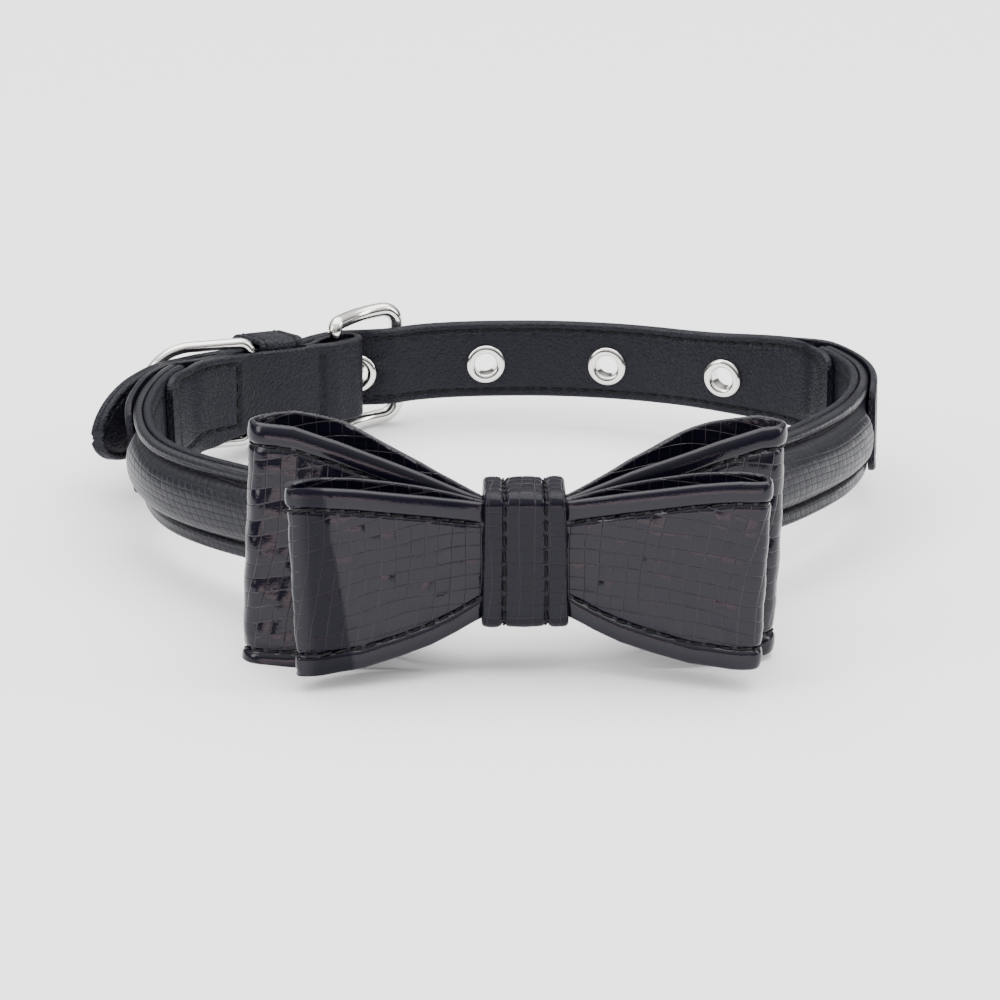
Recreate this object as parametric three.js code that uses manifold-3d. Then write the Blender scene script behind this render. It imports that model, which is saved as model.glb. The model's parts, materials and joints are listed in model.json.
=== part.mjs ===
// A small-dog collar with a double bow, standing on edge as it rests by itself.
// Millimetres, +Z up. The loop is laid out level, with the bow in front (-Y), then tipped to its rest.
// Places along the collar are lengths round its inner face from the middle of the bow, anticlockwise.

import * as THREE from "three";
import { mergeVertices } from "three/addons/utils/BufferGeometryUtils.js";
import Module from "manifold-3d";

const wasm = await Module();
wasm.setup();

// Driving sizes. Of each pair of loops, slant and taper move its edges sideways, swell makes one end
// taller, and roll, a turn in degrees, lifts one end.
const GAP = 0.3;
const LOOP = { width: 139, depth: 124 };
const PANEL = { width: 19, right: 132, left: 124.5 };
const LINING = { thick: 1.9, bevel: 0.4 };
const COVER = { flange: 1.6, inset: 0.15, bevel: 0.3, rounded: 0.4 };
const GROOVE = { deep: 0.45, near: 0.2, far: 0.8 };
const PAD = { lift: 3.1, high: 6.4, low: 5.4, atKnot: 0.5, run: 52, fadeFrom: 2, fadeTo: 7 };
const STRAP = { width: 16, thick: 2.7, bevel: 0.45, flareFrom: 166, tongue: 61, settle: 9 };
const TONGUE_TIP = { length: 11, cut: 0.95, power: 2.1, flare: 6.2, flareRun: 22, droop: 2.4 };
const FORK = { layer: 1.4, bevel: 0.3, blend: 9, crotch: 0.6, root: 3, room: 0.15 };
const FORK_CORNER = { length: 5, cut: 0.55 };
const FORK_ENDS = { rightInner: 125, rightOuter: 104, leftInner: 113.5, leftOuter: 99.5 };
const TAB = { width: 17, thick: 3.4, foldWall: 0.8, foldReach: 2.9, foldSlack: 1, seat: 0.95 };
const SLOT = { half: 2.3, past: 0.8 };
const TAB_RUN = { foldFrom: 1, foldTo: 3.5, pocketNear: 1, pocketFar: 4.5, ahead: 2 };
const FRAME = { height: 26, length: 18.8, wire: 3, camber: 1.6, corner: 4.8 };
const HEEL = { toPanel: 41, radius: 1.1, lift: 1.9, corner: 1.6 };
const PRONG = { radius: 0.95, coilWall: 0.8, coilHalf: 1.6, sunk: 0.3, rise: 0.9, crown: 1.1, past: 1.6 };
const EYELET = { outer: 8.2, hole: 4.5, barrel: 0.45, rim: 0.5, rolled: 0.25, below: 0.8 };
const EYELET_ROW = { spacing: 25.4, fromHeel: 7.7, toFork: 18, after: 1 };
const D_RING = { wire: 2.2, height: 20.8, reach: 23, corner: 2.4, toPanel: 20.4, lift: 1.9, splay: 14.9 };
const KEEPER = { width: 10, wall: 1.2, lift: 1.2, toRing: 7.2, corner: 1.9, slant: 0.32 };
const KEEPER_ROOM = { over: 0.5, side: 0.8 };
const BOW = { wall: 1.1, waist: 22.4, belly: 0.7, rearOpen: 0.55, turn: 5, aside: 1.3 };
const BACK_LOOPS = { width: 100, rise: 22.8, drop: 22.6, depth: 20, lean: 2.8, aside: -1.9 };
const BACK_TRIM = { roll: 0.3, slant: 1, taper: 0.2, swell: -0.04 };
const FRONT_LOOPS = { width: 88.5, rise: 17.4, drop: 19.2, depth: 10, lean: 0, aside: 0 };
const FRONT_TRIM = { roll: 0.4, slant: 0, taper: 0.95, swell: 0 };
const KNOT = { width: 15.8, height: 26, wall: 1.3, backRoom: 0.9, corner: 2.4, innerCorner: 0.7 };
const KNOT_EDGE = { width: 0.5, rolled: 0.4 };
const KNOT_GROOVE = { at: 3.9, half: 0.6, deep: 0.55 };
const PRESS = 0.3;

// Spacing of sections along each kind of run, and how many parts a full turn or loop has
const PITCH = { panel: 4.6, strap: 5, bend: 2, tab: 2.4, tongue: 3, fork: 3.4, slot: 3.6 };
const STEPS = { bow: 76, ringBow: 14, ringBar: 3, round: 14, cutter: 12, fold: 20, frame: 10 };
const PIN_STEPS = { along: 12, round: 8 };

// Inner outline of the loop, seen from above, anticlockwise from the middle of the front.
// across is a share of LOOP.width and deep a share of LOOP.depth; lean tips the top outwards, in degrees;
// lift is a share of PANEL.width.
const OUTLINE = [
  { across: 0.000, deep: 0.000, lean: 0, lift: 0 },
  { across: 0.065, deep: -0.003, lean: 0, lift: 0 },
  { across: 0.144, deep: 0.070, lean: 0, lift: 0 },
  { across: 0.324, deep: 0.224, lean: 0, lift: 0 },
  { across: 0.424, deep: 0.328, lean: 0, lift: 0 },
  { across: 0.504, deep: 0.452, lean: 0, lift: 0 },
  { across: 0.545, deep: 0.585, lean: 0, lift: 0 },
  { across: 0.543, deep: 0.690, lean: 0, lift: 0 },
  { across: 0.496, deep: 0.801, lean: 0, lift: 0 },
  { across: 0.392, deep: 0.877, lean: 0, lift: 0 },
  { across: 0.249, deep: 0.960, lean: 0, lift: 0 },
  { across: 0.101, deep: 0.998, lean: 0, lift: 0 },
  { across: -0.050, deep: 0.990, lean: 0, lift: 0 },
  { across: -0.139, deep: 0.945, lean: 0, lift: -0.03 },
  { across: -0.216, deep: 0.891, lean: 0, lift: -0.03 },
  { across: -0.317, deep: 0.841, lean: 0, lift: 0 },
  { across: -0.385, deep: 0.782, lean: 0, lift: 0.03 },
  { across: -0.435, deep: 0.673, lean: 2, lift: 0.03 },
  { across: -0.457, deep: 0.544, lean: 6, lift: -0.03 },
  { across: -0.435, deep: 0.407, lean: 10, lift: -0.08 },
  { across: -0.324, deep: 0.248, lean: 8, lift: -0.09 },
  { across: -0.144, deep: 0.084, lean: 2, lift: -0.04 },
  { across: -0.065, deep: 0.011, lean: 0, lift: 0 },
];

// One half of each pair of bow loops, from the knot to the end. out is a share of the half width,
// and front and back are shares of the loop depth that each wall stands away from its place in the knot.
const BACK_LOOP_ROWS = [
  { out: 0.00, front: 0.00, back: 0.00 },
  { out: 0.19, front: 0.00, back: 0.01 },
  { out: 0.32, front: 0.03, back: 0.08 },
  { out: 0.48, front: 0.08, back: 0.33 },
  { out: 0.68, front: 0.12, back: 0.68 },
  { out: 0.89, front: 0.24, back: 0.61 },
  { out: 0.98, front: 0.32, back: 0.46 },
];
const FRONT_LOOP_ROWS = [
  { out: 0.00, front: 0.00, back: 0.00 },
  { out: 0.21, front: -0.02, back: 0.00 },
  { out: 0.38, front: -0.24, back: -0.02 },
  { out: 0.60, front: -0.52, back: -0.08 },
  { out: 0.80, front: -0.76, back: -0.26 },
  { out: 0.94, front: -0.94, back: -0.50 },
  { out: 0.99, front: -0.90, back: -0.66 },
];
// Round back of the padded panel: up is a share of the pad's width, lift a share of its height
const PAD_ROWS = [
  { up: 0.08, lift: 0.45 },
  { up: 0.24, lift: 0.86 },
  { up: 0.50, lift: 1.00 },
  { up: 0.76, lift: 0.86 },
  { up: 0.92, lift: 0.45 },
];
// How far a bow strip has widened from its waist to its full height, by its share of the way out from
// the knot: slow is the upper edge of a front wall, fast the lower edge. A rear wall's upper edge lies
// between them, by BOW.rearOpen.
const OPENING = [
  { out: 0.00, slow: 0.00, fast: 0.00 },
  { out: 0.06, slow: 0.00, fast: 0.00 },
  { out: 0.14, slow: 0.18, fast: 0.30 },
  { out: 0.28, slow: 0.36, fast: 0.55 },
  { out: 0.45, slow: 0.55, fast: 0.75 },
  { out: 0.65, slow: 0.78, fast: 0.94 },
  { out: 0.86, slow: 0.985, fast: 1.00 },
  { out: 1.00, slow: 1.00, fast: 1.00 },
];

const DEGREE = Math.PI / 180;
const UP = new THREE.Vector3(0, 0, 1);

// Smooth step from 0 at a to 1 at b
function ramp(value, a, b) {
  const t = Math.min(1, Math.max(0, (value - a) / (b - a)));
  return t * t * (3 - 2 * t);
}

// Value of one column at a place, read between the rows of a table
function readTable(rows, key, column, place) {
  for (let i = 1; i < rows.length; i++) {
    if (place <= rows[i][key]) {
      const t = (place - rows[i - 1][key]) / (rows[i][key] - rows[i - 1][key]);
      return THREE.MathUtils.lerp(rows[i - 1][column], rows[i][column], Math.max(0, t));
    }
  }
  return rows[rows.length - 1][column];
}

// Evenly spaced places from a to b, both ends kept
function places(a, b, pitch) {
  const count = Math.max(1, Math.round(Math.abs(b - a) / pitch));
  return Array.from({ length: count + 1 }, (_, i) => a + ((b - a) * i) / count);
}

// The loop's path, with its lean and its lift carried as the third coordinates of twin curves
const FRONT_INSIDE = -0.222 * LOOP.depth;
const outlinePoint = ({ across, deep, lean }) =>
  new THREE.Vector3(across * LOOP.width, FRONT_INSIDE + deep * LOOP.depth, lean);
const flatPoint = ({ x, y }) => new THREE.Vector3(x, y, 0);
const path = new THREE.CatmullRomCurve3(OUTLINE.map(outlinePoint), true, "centripetal");
const liftPoints = OUTLINE.map((row) => outlinePoint(row).setZ(row.lift * PANEL.width));
const liftPath = new THREE.CatmullRomCurve3(liftPoints, true, "centripetal");
const flatPath = new THREE.CatmullRomCurve3(path.points.map(flatPoint), true, "centripetal");
flatPath.arcLengthDivisions = 2400;
const ROUND = flatPath.getLength();

// Point at a length round the loop, an offset outwards from the inner face and a height
function onLoop(at, offset, height) {
  const u = (((at / ROUND) % 1) + 1) % 1;
  const t = flatPath.getUtoTmapping(u);
  const base = flatPath.getPoint(t);
  const along = flatPath.getTangent(t);
  const lean = path.getPoint(t).z * DEGREE;
  const out = new THREE.Vector3(along.y, -along.x, 0);
  const outwards = offset * Math.cos(lean) + height * Math.sin(lean);
  const rise = height * Math.cos(lean) - offset * Math.sin(lean);
  return base.addScaledVector(out, outwards).addScaledVector(UP, rise + liftPath.getPoint(t).z);
}

// Closed solid through sections of equal point count; place puts a section's (a, b) in space.
// An open run gets two end faces, a closed run joins its last section to its first.
function loft(stations, section, place, closed = false) {
  const outlines = stations.map((at) => section(at));
  const size = outlines[0].length;
  const positions = [];
  stations.forEach((at, i) => {
    for (const [a, b] of outlines[i]) positions.push(...place(at, a, b).toArray());
  });
  const faces = [];
  const runs = closed ? stations.length : stations.length - 1;
  for (let i = 0; i < runs; i++) {
    const here = i * size;
    const next = ((i + 1) % stations.length) * size;
    for (let j = 0; j < size; j++) {
      const k = (j + 1) % size;
      faces.push([here + j, here + k, next + k], [here + j, next + k, next + j]);
    }
  }
  if (!closed) {
    const last = (stations.length - 1) * size;
    for (const [a, b, c] of endFaces(outlines[0])) faces.push([b, a, c]);
    for (const face of endFaces(outlines[outlines.length - 1])) faces.push(face.map((i) => last + i));
  }
  return facingOut(positions, faces);
}

// Triangles across an outline, wound the way that its points run
function endFaces(outline) {
  const flat = outline.map(([a, b]) => new THREE.Vector2(a, b));
  const triangles = THREE.ShapeUtils.triangulateShape(flat, []);
  return THREE.ShapeUtils.isClockWise(flat) ? triangles.map(([a, b, c]) => [a, c, b]) : triangles;
}

// Geometry whose faces, all wound alike, are turned to point out
function facingOut(positions, faces) {
  const at = (i) => new THREE.Vector3(positions[3 * i], positions[3 * i + 1], positions[3 * i + 2]);
  let volume = 0;
  for (const [a, b, c] of faces) volume += at(a).dot(at(b).cross(at(c)));
  const geometry = new THREE.BufferGeometry();
  geometry.setAttribute("position", new THREE.Float32BufferAttribute(positions, 3));
  geometry.setIndex(faces.flatMap(([a, b, c]) => (volume > 0 ? [a, b, c] : [a, c, b])));
  return geometry;
}

// Rectangle from (a0, b0) to (a1, b1) with its four corners cut by a small bevel
function bevelled(a0, b0, a1, b1, bevel) {
  return [
    [a0 + bevel, b0], [a1 - bevel, b0], [a1, b0 + bevel], [a1, b1 - bevel],
    [a1 - bevel, b1], [a0 + bevel, b1], [a0, b1 - bevel], [a0, b0 + bevel],
  ];
}

// Regular polygon outline of a round section
function roundSection(radius, sides) {
  return Array.from({ length: sides }, (_, i) => {
    const angle = (2 * Math.PI * (i + 0.5)) / sides;
    return [radius * Math.cos(angle), radius * Math.sin(angle)];
  });
}

// Round wire along a run of points, each section square to the run
function wire(points, radius, sides, closed) {
  const count = points.length;
  const radii = Array.isArray(radius) ? radius : points.map(() => radius);
  const tangents = points.map((_, i) => {
    const before = points[closed ? (i + count - 1) % count : Math.max(0, i - 1)];
    const after = points[closed ? (i + 1) % count : Math.min(count - 1, i + 1)];
    return after.clone().sub(before).normalize();
  });
  const middle = points.reduce((sum, point) => sum.add(point), new THREE.Vector3()).divideScalar(count);
  const plane = new THREE.Vector3();
  points.forEach((point, i) => {
    const next = points[(i + 1) % count];
    plane.add(point.clone().sub(middle).cross(next.clone().sub(middle)));
  });
  plane.normalize();
  const place = (i, a, b) => {
    const side = plane.clone().addScaledVector(tangents[i], -plane.dot(tangents[i])).normalize();
    const across = new THREE.Vector3().crossVectors(tangents[i], side);
    return points[i].clone().addScaledVector(across, a).addScaledVector(side, b);
  };
  return loft(points.map((_, i) => i), (i) => roundSection(radii[i], sides), place, closed);
}

// Solid for joining and cutting, from a closed geometry
function solidOf(geometry) {
  const bare = geometry.clone();
  bare.deleteAttribute("normal");
  bare.deleteAttribute("uv");
  const merged = mergeVertices(bare, 1e-5);
  const vertProperties = new Float32Array(merged.attributes.position.array);
  const triVerts = new Uint32Array(merged.index.array);
  return new wasm.Manifold(new wasm.Mesh({ numProp: 3, vertProperties, triVerts }));
}

// Geometry of a joined or cut solid
function geometryOf(solid) {
  const { vertProperties, triVerts } = solid.getMesh();
  const geometry = new THREE.BufferGeometry();
  geometry.setAttribute("position", new THREE.BufferAttribute(new Float32Array(vertProperties), 3));
  geometry.setIndex(new THREE.BufferAttribute(new Uint32Array(triVerts), 1));
  return geometry;
}

// Upright cylinder at a place on the loop
function uprightBar(at, offset, radius, length, sides = STEPS.cutter) {
  const bar = new THREE.CylinderGeometry(radius, radius, length, sides).rotateX(Math.PI / 2);
  const centre = onLoop(at, offset, 0);
  return bar.translate(centre.x, centre.y, centre.z);
}

// Places that follow from the sizes
const PANEL_LEFT = ROUND - PANEL.left;
const HEEL_AT = PANEL_LEFT - HEEL.toPanel;
const RING_AT = PANEL_LEFT - D_RING.toPanel;
const END_AT = HEEL_AT - (FRAME.length - FRAME.wire);
const FOLD_AT = HEEL_AT - TAB.foldReach;
const END_LIFT = STRAP.thick + GAP + FRAME.wire / 2;
const FOLD_RADIUS = HEEL.radius + GAP + PRONG.coilWall + GAP + TAB.foldWall;
const FOLD_TOP = HEEL.lift + FOLD_RADIUS;
const RING_RADIUS = D_RING.wire / 2;
const RING_POCKET = D_RING.lift + RING_RADIUS + GAP + TAB.foldWall;
const PANEL_FLAT = LINING.thick + GAP + COVER.flange;
const LEFT_INNER = ROUND - FORK_ENDS.leftInner;
const LEFT_OUTER = ROUND - FORK_ENDS.leftOuter;
const OUTER_LAYER = PANEL_FLAT + GAP + FORK.room;
const PRONG_EYELET = HEEL_AT - EYELET_ROW.fromHeel;
const TONGUE_END = PRONG_EYELET + STRAP.tongue;
const KEEPER_AT = RING_AT - KEEPER.toRing;

// 1 where the tab is folded round the heel bar, 0 where its two layers lie together
function foldAt(at) {
  return 1 - ramp(at, HEEL_AT + TAB_RUN.foldFrom, HEEL_AT + FOLD_RADIUS + TAB_RUN.foldTo);
}

// How far the tab's outer face stands off the loop's inner face
function tabOuter(at) {
  const fold = foldAt(at);
  const pocket = 1 - ramp(Math.abs(at - RING_AT), TAB_RUN.pocketNear, TAB_RUN.pocketFar);
  const fork = ramp(at, PANEL_LEFT - FORK.blend, PANEL_LEFT);
  const lift = TAB.thick + fold * (FOLD_TOP - TAB.thick) + pocket * (RING_POCKET - TAB.thick);
  return lift + fork * (OUTER_LAYER + FORK.layer - TAB.thick);
}

// How far the strap's inner face stands off the loop's inner face: flush behind the end bar,
// over the fold at the heel bar, then along the tab, and springing free at the tongue's tip
function strapInner(at) {
  const overFold = FOLD_TOP + GAP + TAB.foldSlack;
  if (at < HEEL_AT) return overFold * ramp(at, END_AT + PRONG.radius - GAP, FOLD_AT + SLOT.past);
  const overTab = Math.max(RING_POCKET, tabOuter(at + TAB_RUN.ahead)) + TAB.seat;
  const settle = ramp(at, HEEL_AT, HEEL_AT + STRAP.settle);
  const free = Math.max(0, (at - (TONGUE_END - TONGUE_TIP.flareRun)) / TONGUE_TIP.flareRun);
  return overFold + (overTab - overFold) * settle + TONGUE_TIP.flare * free ** 1.5;
}

// How far the tongue's tip hangs below the middle of the collar
function strapDroop(at) {
  return -TONGUE_TIP.droop * ramp(at, TONGUE_END - TONGUE_TIP.flareRun, TONGUE_END);
}

// Half width of the strap: wider at the panel, round at the tip
function strapHalf(at) {
  const flare = 1 - ramp(at, PANEL.right, STRAP.flareFrom);
  const half = STRAP.width / 2 + (flare * (PANEL.width - STRAP.width)) / 2;
  const tip = Math.min(1, Math.max(0, (at - (TONGUE_END - TONGUE_TIP.length)) / TONGUE_TIP.length));
  return half * Math.sqrt(1 - TONGUE_TIP.cut * tip ** TONGUE_TIP.power);
}

// Half width of the tab: as wide as the panel at the fork
function tabHalf(at) {
  const flare = ramp(at, PANEL_LEFT - FORK.blend, LEFT_INNER);
  return TAB.width / 2 + (flare * (PANEL.width - TAB.width)) / 2;
}

// Height of the pad above its flanges: full on the sides, pressed flat at the knot and under the forks
function padHeight(at) {
  const fromKnot = Math.min(at, ROUND - at);
  const full = PAD.atKnot + (PAD.lift - PAD.atKnot) * ramp(fromKnot, KNOT.width / 2, PAD.run);
  const nearest = at < ROUND / 2 ? FORK_ENDS.rightOuter - at : at - LEFT_OUTER;
  return full * ramp(nearest, PAD.fadeFrom, PAD.fadeTo);
}

function liningSection() {
  return bevelled(0, -PANEL.width / 2, LINING.thick, PANEL.width / 2, LINING.bevel);
}

// Flat flanges top and bottom, a stitched groove, and the raised pad between them
function coverSection(at) {
  const foot = LINING.thick + GAP;
  const face = foot + COVER.flange;
  const half = PANEL.width / 2 - COVER.inset;
  const pad = padHeight(at);
  const sunk = face - GROOVE.deep * Math.min(1, pad / PAD.lift);
  const shoulders = PAD_ROWS.map((row) => [face + pad * row.lift, (PAD.high + PAD.low) * row.up - PAD.low]);
  return [
    [foot, -half],
    [face - COVER.bevel, -half],
    [face, COVER.rounded - half],
    [face, -PAD.low - GROOVE.far],
    [sunk, -PAD.low - GROOVE.near],
    ...shoulders,
    [sunk, PAD.high + GROOVE.near],
    [face, PAD.high + GROOVE.far],
    [face, half - COVER.rounded],
    [face - COVER.bevel, half],
    [foot, half],
  ];
}

function panelLining() {
  return loft(places(-PANEL.left, PANEL.right, PITCH.panel), liningSection, onLoop);
}

function panelCover() {
  const section = (at) => coverSection((at + ROUND) % ROUND);
  return loft(places(-PANEL.left, PANEL.right, PITCH.panel), section, onLoop);
}

// One leather layer of a fork, from its free end with rounded corners to where it joins the body
function forkLayer(free, joined, innerAt, half) {
  const toward = Math.sign(free - joined);
  const corner = FORK_CORNER.length;
  const stations = places(joined, free - toward * corner, PITCH.fork);
  for (const share of [0.45, 0.8, 1]) stations.push(free - toward * corner * (1 - share));
  return loft(
    stations,
    (at) => {
      const in_ = innerAt(at);
      const end = Math.min(1, Math.max(0, 1 - Math.abs(free - at) / corner));
      const reach = half - corner * FORK_CORNER.cut * (1 - Math.sqrt(1 - end * end));
      return bevelled(in_, -reach, in_ + FORK.layer, reach, FORK.bevel);
    },
    onLoop,
  );
}

// The collar's strap from its fork over the panel's right end to the tip of the tongue
function tongueStrap() {
  const half = PANEL.width / 2;
  const crotch = PANEL.right + GAP + FORK.crotch;
  const bendFrom = END_AT - FRAME.wire * 2;
  const bendTo = HEEL_AT + STRAP.settle + FRAME.wire;
  const stations = [
    ...places(crotch, STRAP.flareFrom, PITCH.strap),
    ...places(STRAP.flareFrom, bendFrom, PITCH.strap).slice(1),
    ...places(bendFrom, bendTo, PITCH.bend).slice(1),
    ...places(bendTo, TONGUE_END - TONGUE_TIP.length, PITCH.tongue).slice(1),
    ...[0.35, 0.62, 0.82, 0.93, 1].map((share) => TONGUE_END - TONGUE_TIP.length * (1 - share)),
  ];
  const body = loft(
    stations,
    (at) => {
      const in_ = strapInner(at);
      const wide = strapHalf(at);
      const bevel = Math.min(STRAP.bevel, wide / 3);
      const low = strapDroop(at);
      const grown = (OUTER_LAYER + FORK.layer - STRAP.thick) * (1 - ramp(at, crotch, crotch + FORK.blend));
      return bevelled(in_, low - wide, in_ + STRAP.thick + grown, low + wide, bevel);
    },
    onLoop,
  );
  const root = crotch + FORK.root;
  const under = (at) => -(FORK.layer + GAP) * (1 - ramp(at, PANEL.right + GAP, root));
  const inner = forkLayer(FORK_ENDS.rightInner, root, under, half);
  const outer = forkLayer(FORK_ENDS.rightOuter, root, () => OUTER_LAYER, half);
  let solid = solidOf(body).add(solidOf(inner)).add(solidOf(outer));
  for (const at of eyeletPlaces()) solid = solid.subtract(solidOf(eyeletHole(at)));
  return geometryOf(solid);
}

// The eyelets' places: as many as fit between the fork and the one that the prong is in, and one past it
function eyeletPlaces() {
  const { after, spacing, toFork } = EYELET_ROW;
  const before = Math.floor((PRONG_EYELET - PANEL.right - toFork) / spacing);
  return Array.from({ length: before + 1 + after }, (_, i) => PRONG_EYELET + (i - before) * spacing);
}

// Middle of the strap's thickness at a place, and the direction square to it there
function strapMiddle(at) {
  const middle = (place) => onLoop(place, strapInner(place) + STRAP.thick / 2, -EYELET.below);
  const along = middle(at + 1).sub(middle(at - 1)).normalize();
  return { centre: middle(at), normal: new THREE.Vector3(along.y, -along.x, 0).normalize() };
}

function turnTo(geometry, at) {
  const { centre, normal } = strapMiddle(at);
  geometry.applyQuaternion(new THREE.Quaternion().setFromUnitVectors(new THREE.Vector3(0, 1, 0), normal));
  return geometry.translate(centre.x, centre.y, centre.z);
}

function eyeletHole(at) {
  const radius = EYELET.hole / 2 + EYELET.barrel + GAP;
  return turnTo(new THREE.CylinderGeometry(radius, radius, STRAP.thick * 3, STEPS.round), at);
}

// Pressed ring: a barrel through the strap with a rolled rim on each face
function eyelet(at) {
  const bore = EYELET.hole / 2;
  const rim = EYELET.outer / 2;
  const barrel = bore + EYELET.barrel;
  const face = STRAP.thick / 2 + GAP;
  const top = face + EYELET.rim;
  const lip = EYELET.rolled;
  const upper = [
    [barrel, face],
    [rim - lip, face],
    [rim, face + lip / 2],
    [rim - 2 * lip, top],
    [bore + lip, top],
    [bore, top - lip],
  ];
  const lower = upper.map(([r, y]) => [r, -y]).reverse();
  const profile = [...upper, ...lower, upper[0]];
  return turnTo(new THREE.LatheGeometry(profile.map(([r, y]) => new THREE.Vector2(r, y)), STEPS.round), at);
}

// Folded strip round the heel bar, sewn together, with its free ends forked over the panel
function buckleTab() {
  const crotch = PANEL_LEFT - GAP - FORK.crotch;
  const straight = HEEL_AT + STRAP.settle;
  const bend = places(FOLD_AT, straight, PITCH.bend);
  const stations = [...bend, ...places(straight, crotch, PITCH.tab).slice(1)];
  const rise = FOLD_TOP - 2 * FOLD_RADIUS;
  const section = (at) => bevelled(rise * foldAt(at), -tabHalf(at), tabOuter(at), tabHalf(at), STRAP.bevel);
  const body = loft(stations, section, onLoop);
  const root = crotch - FORK.root;
  const half = PANEL.width / 2;
  const under = (at) => -(FORK.layer + GAP) * ramp(at, root, PANEL_LEFT - GAP);
  const inner = forkLayer(LEFT_INNER, root, under, half);
  const outer = forkLayer(LEFT_OUTER, root, (at) => tabOuter(at) - FORK.layer, half);
  const fold = uprightBar(FOLD_AT, HEEL.lift, FOLD_RADIUS, TAB.width, STEPS.fold);
  let solid = solidOf(body).add(solidOf(fold)).add(solidOf(inner)).add(solidOf(outer));
  for (const cut of tabCuts()) solid = solid.subtract(solidOf(cut));
  return geometryOf(solid);
}

// Channel of the heel bar, room and slot for the prong, and ways through for the ring and the keeper
function tabCuts() {
  const through = 2 * TAB.width;
  const channelHalf = HEEL.radius + GAP;
  const coilRoom = HEEL.radius + 2 * GAP + PRONG.coilWall;
  const keeperRoom = KEEPER.width / 2 + GAP;
  const box = (stations, low, high, half) =>
    loft(stations, () => bevelled(low, -half, high, half, GAP / 3), onLoop);
  return [
    uprightBar(HEEL_AT, HEEL.lift, channelHalf, through),
    uprightBar(FOLD_AT, HEEL.lift, channelHalf, through),
    box([FOLD_AT, HEEL_AT], HEEL.lift - channelHalf, HEEL.lift + channelHalf, TAB.width),
    uprightBar(HEEL_AT, HEEL.lift, coilRoom, 2 * SLOT.half, STEPS.round),
    uprightBar(RING_AT, D_RING.lift, RING_RADIUS + GAP, through),
    box([FOLD_AT - 2 * FOLD_RADIUS, HEEL_AT + SLOT.past], HEEL.lift - GAP, 2 * FOLD_TOP, SLOT.half),
    box(
      places(KEEPER_AT - keeperRoom, KEEPER_AT + keeperRoom, PITCH.slot),
      KEEPER.lift - GAP,
      KEEPER.lift + KEEPER.wall + GAP,
      TAB.width,
    ),
  ];
}

// Axes at the buckle: along runs from the heel bar to the end bar
function buckleAxes() {
  const heel = onLoop(HEEL_AT, HEEL.lift, 0);
  const end = onLoop(END_AT, END_LIFT, 0);
  const along = end.clone().sub(heel).normalize();
  const out = new THREE.Vector3(-along.y, along.x, 0);
  return { heel, end, along, out };
}

// Where the rails have points between their corners
const RAIL_SHARES = [0.32, 0.6];

// Rounded frame with its two rails bowed outwards, and a thin bar at the heel
function buckleFrame() {
  const { heel, along, out, end } = buckleAxes();
  const reach = end.distanceTo(heel);
  const half = (FRAME.height - FRAME.wire) / 2;
  const corners = [
    { u: 0, z: -1, radius: HEEL.corner },
    { u: reach, z: -1, radius: FRAME.corner - FRAME.wire / 2 },
    { u: reach, z: 1, radius: FRAME.corner - FRAME.wire / 2 },
    { u: 0, z: 1, radius: HEEL.corner },
  ];
  const points = [];
  corners.forEach(({ u, z, radius }, i) => {
    const centreU = u === 0 ? radius : reach - radius;
    const centreZ = z * (half - radius);
    for (let step = 0; step <= 3; step++) {
      const angle = Math.PI + (i * Math.PI) / 2 + (step * Math.PI) / 6;
      points.push([centreU + radius * Math.cos(angle), centreZ + radius * Math.sin(angle), FRAME.wire / 2]);
    }
    const rail = RAIL_SHARES.map((share) => [reach * share, z * half, FRAME.wire / 2]);
    if (u === 0 && z < 0) points.push(...rail);
    if (u > 0 && z > 0) points.push(...rail.reverse());
  });
  const thin = TAB.width / 2 + GAP;
  for (const z of [thin, thin * 0.5, -thin * 0.5, -thin]) points.push([0, z, HEEL.radius]);
  const placed = points.map(([u, z]) => {
    const bow = FRAME.camber * Math.sin((Math.PI * u) / reach);
    return heel.clone().addScaledVector(along, u).addScaledVector(out, bow).addScaledVector(UP, z);
  });
  return wire(placed, points.map((point) => point[2]), STEPS.frame, true);
}

// Coil round the heel bar, and a pin that rises through the first eyelet and lies on the end bar
function buckleProng() {
  const { heel, along, out, end } = buckleAxes();
  const inner = HEEL.radius + GAP;
  const outer = inner + PRONG.coilWall;
  const half = PRONG.coilHalf;
  const ring = [[inner, -half], [outer, -half], [outer, half], [inner, half], [inner, -half]];
  const coil = new THREE.LatheGeometry(ring.map(([r, y]) => new THREE.Vector2(r, y)), STEPS.round);
  coil.rotateX(Math.PI / 2).translate(heel.x, heel.y, heel.z);
  const reach = end.distanceTo(heel);
  const rest = FRAME.wire / 2 + GAP + PRONG.radius;
  const { centre, normal } = strapMiddle(PRONG_EYELET);
  const curve = new THREE.CatmullRomCurve3([
    heel.clone().addScaledVector(along, outer - PRONG.sunk).addScaledVector(out, PRONG.rise),
    centre.clone().addScaledVector(normal, -PRONG.rise).addScaledVector(along, PRONG.sunk),
    centre.clone().addScaledVector(normal, STRAP.thick * 0.85).addScaledVector(along, PRONG.crown),
    heel.clone().addScaledVector(along, reach * 0.66).addScaledVector(out, rest + PRONG.crown),
    heel.clone().addScaledVector(along, reach + PRONG.past).addScaledVector(out, rest),
  ]);
  const pin = wire(curve.getSpacedPoints(PIN_STEPS.along), PRONG.radius, PIN_STEPS.round, false);
  return geometryOf(solidOf(coil).add(solidOf(pin)));
}

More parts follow.
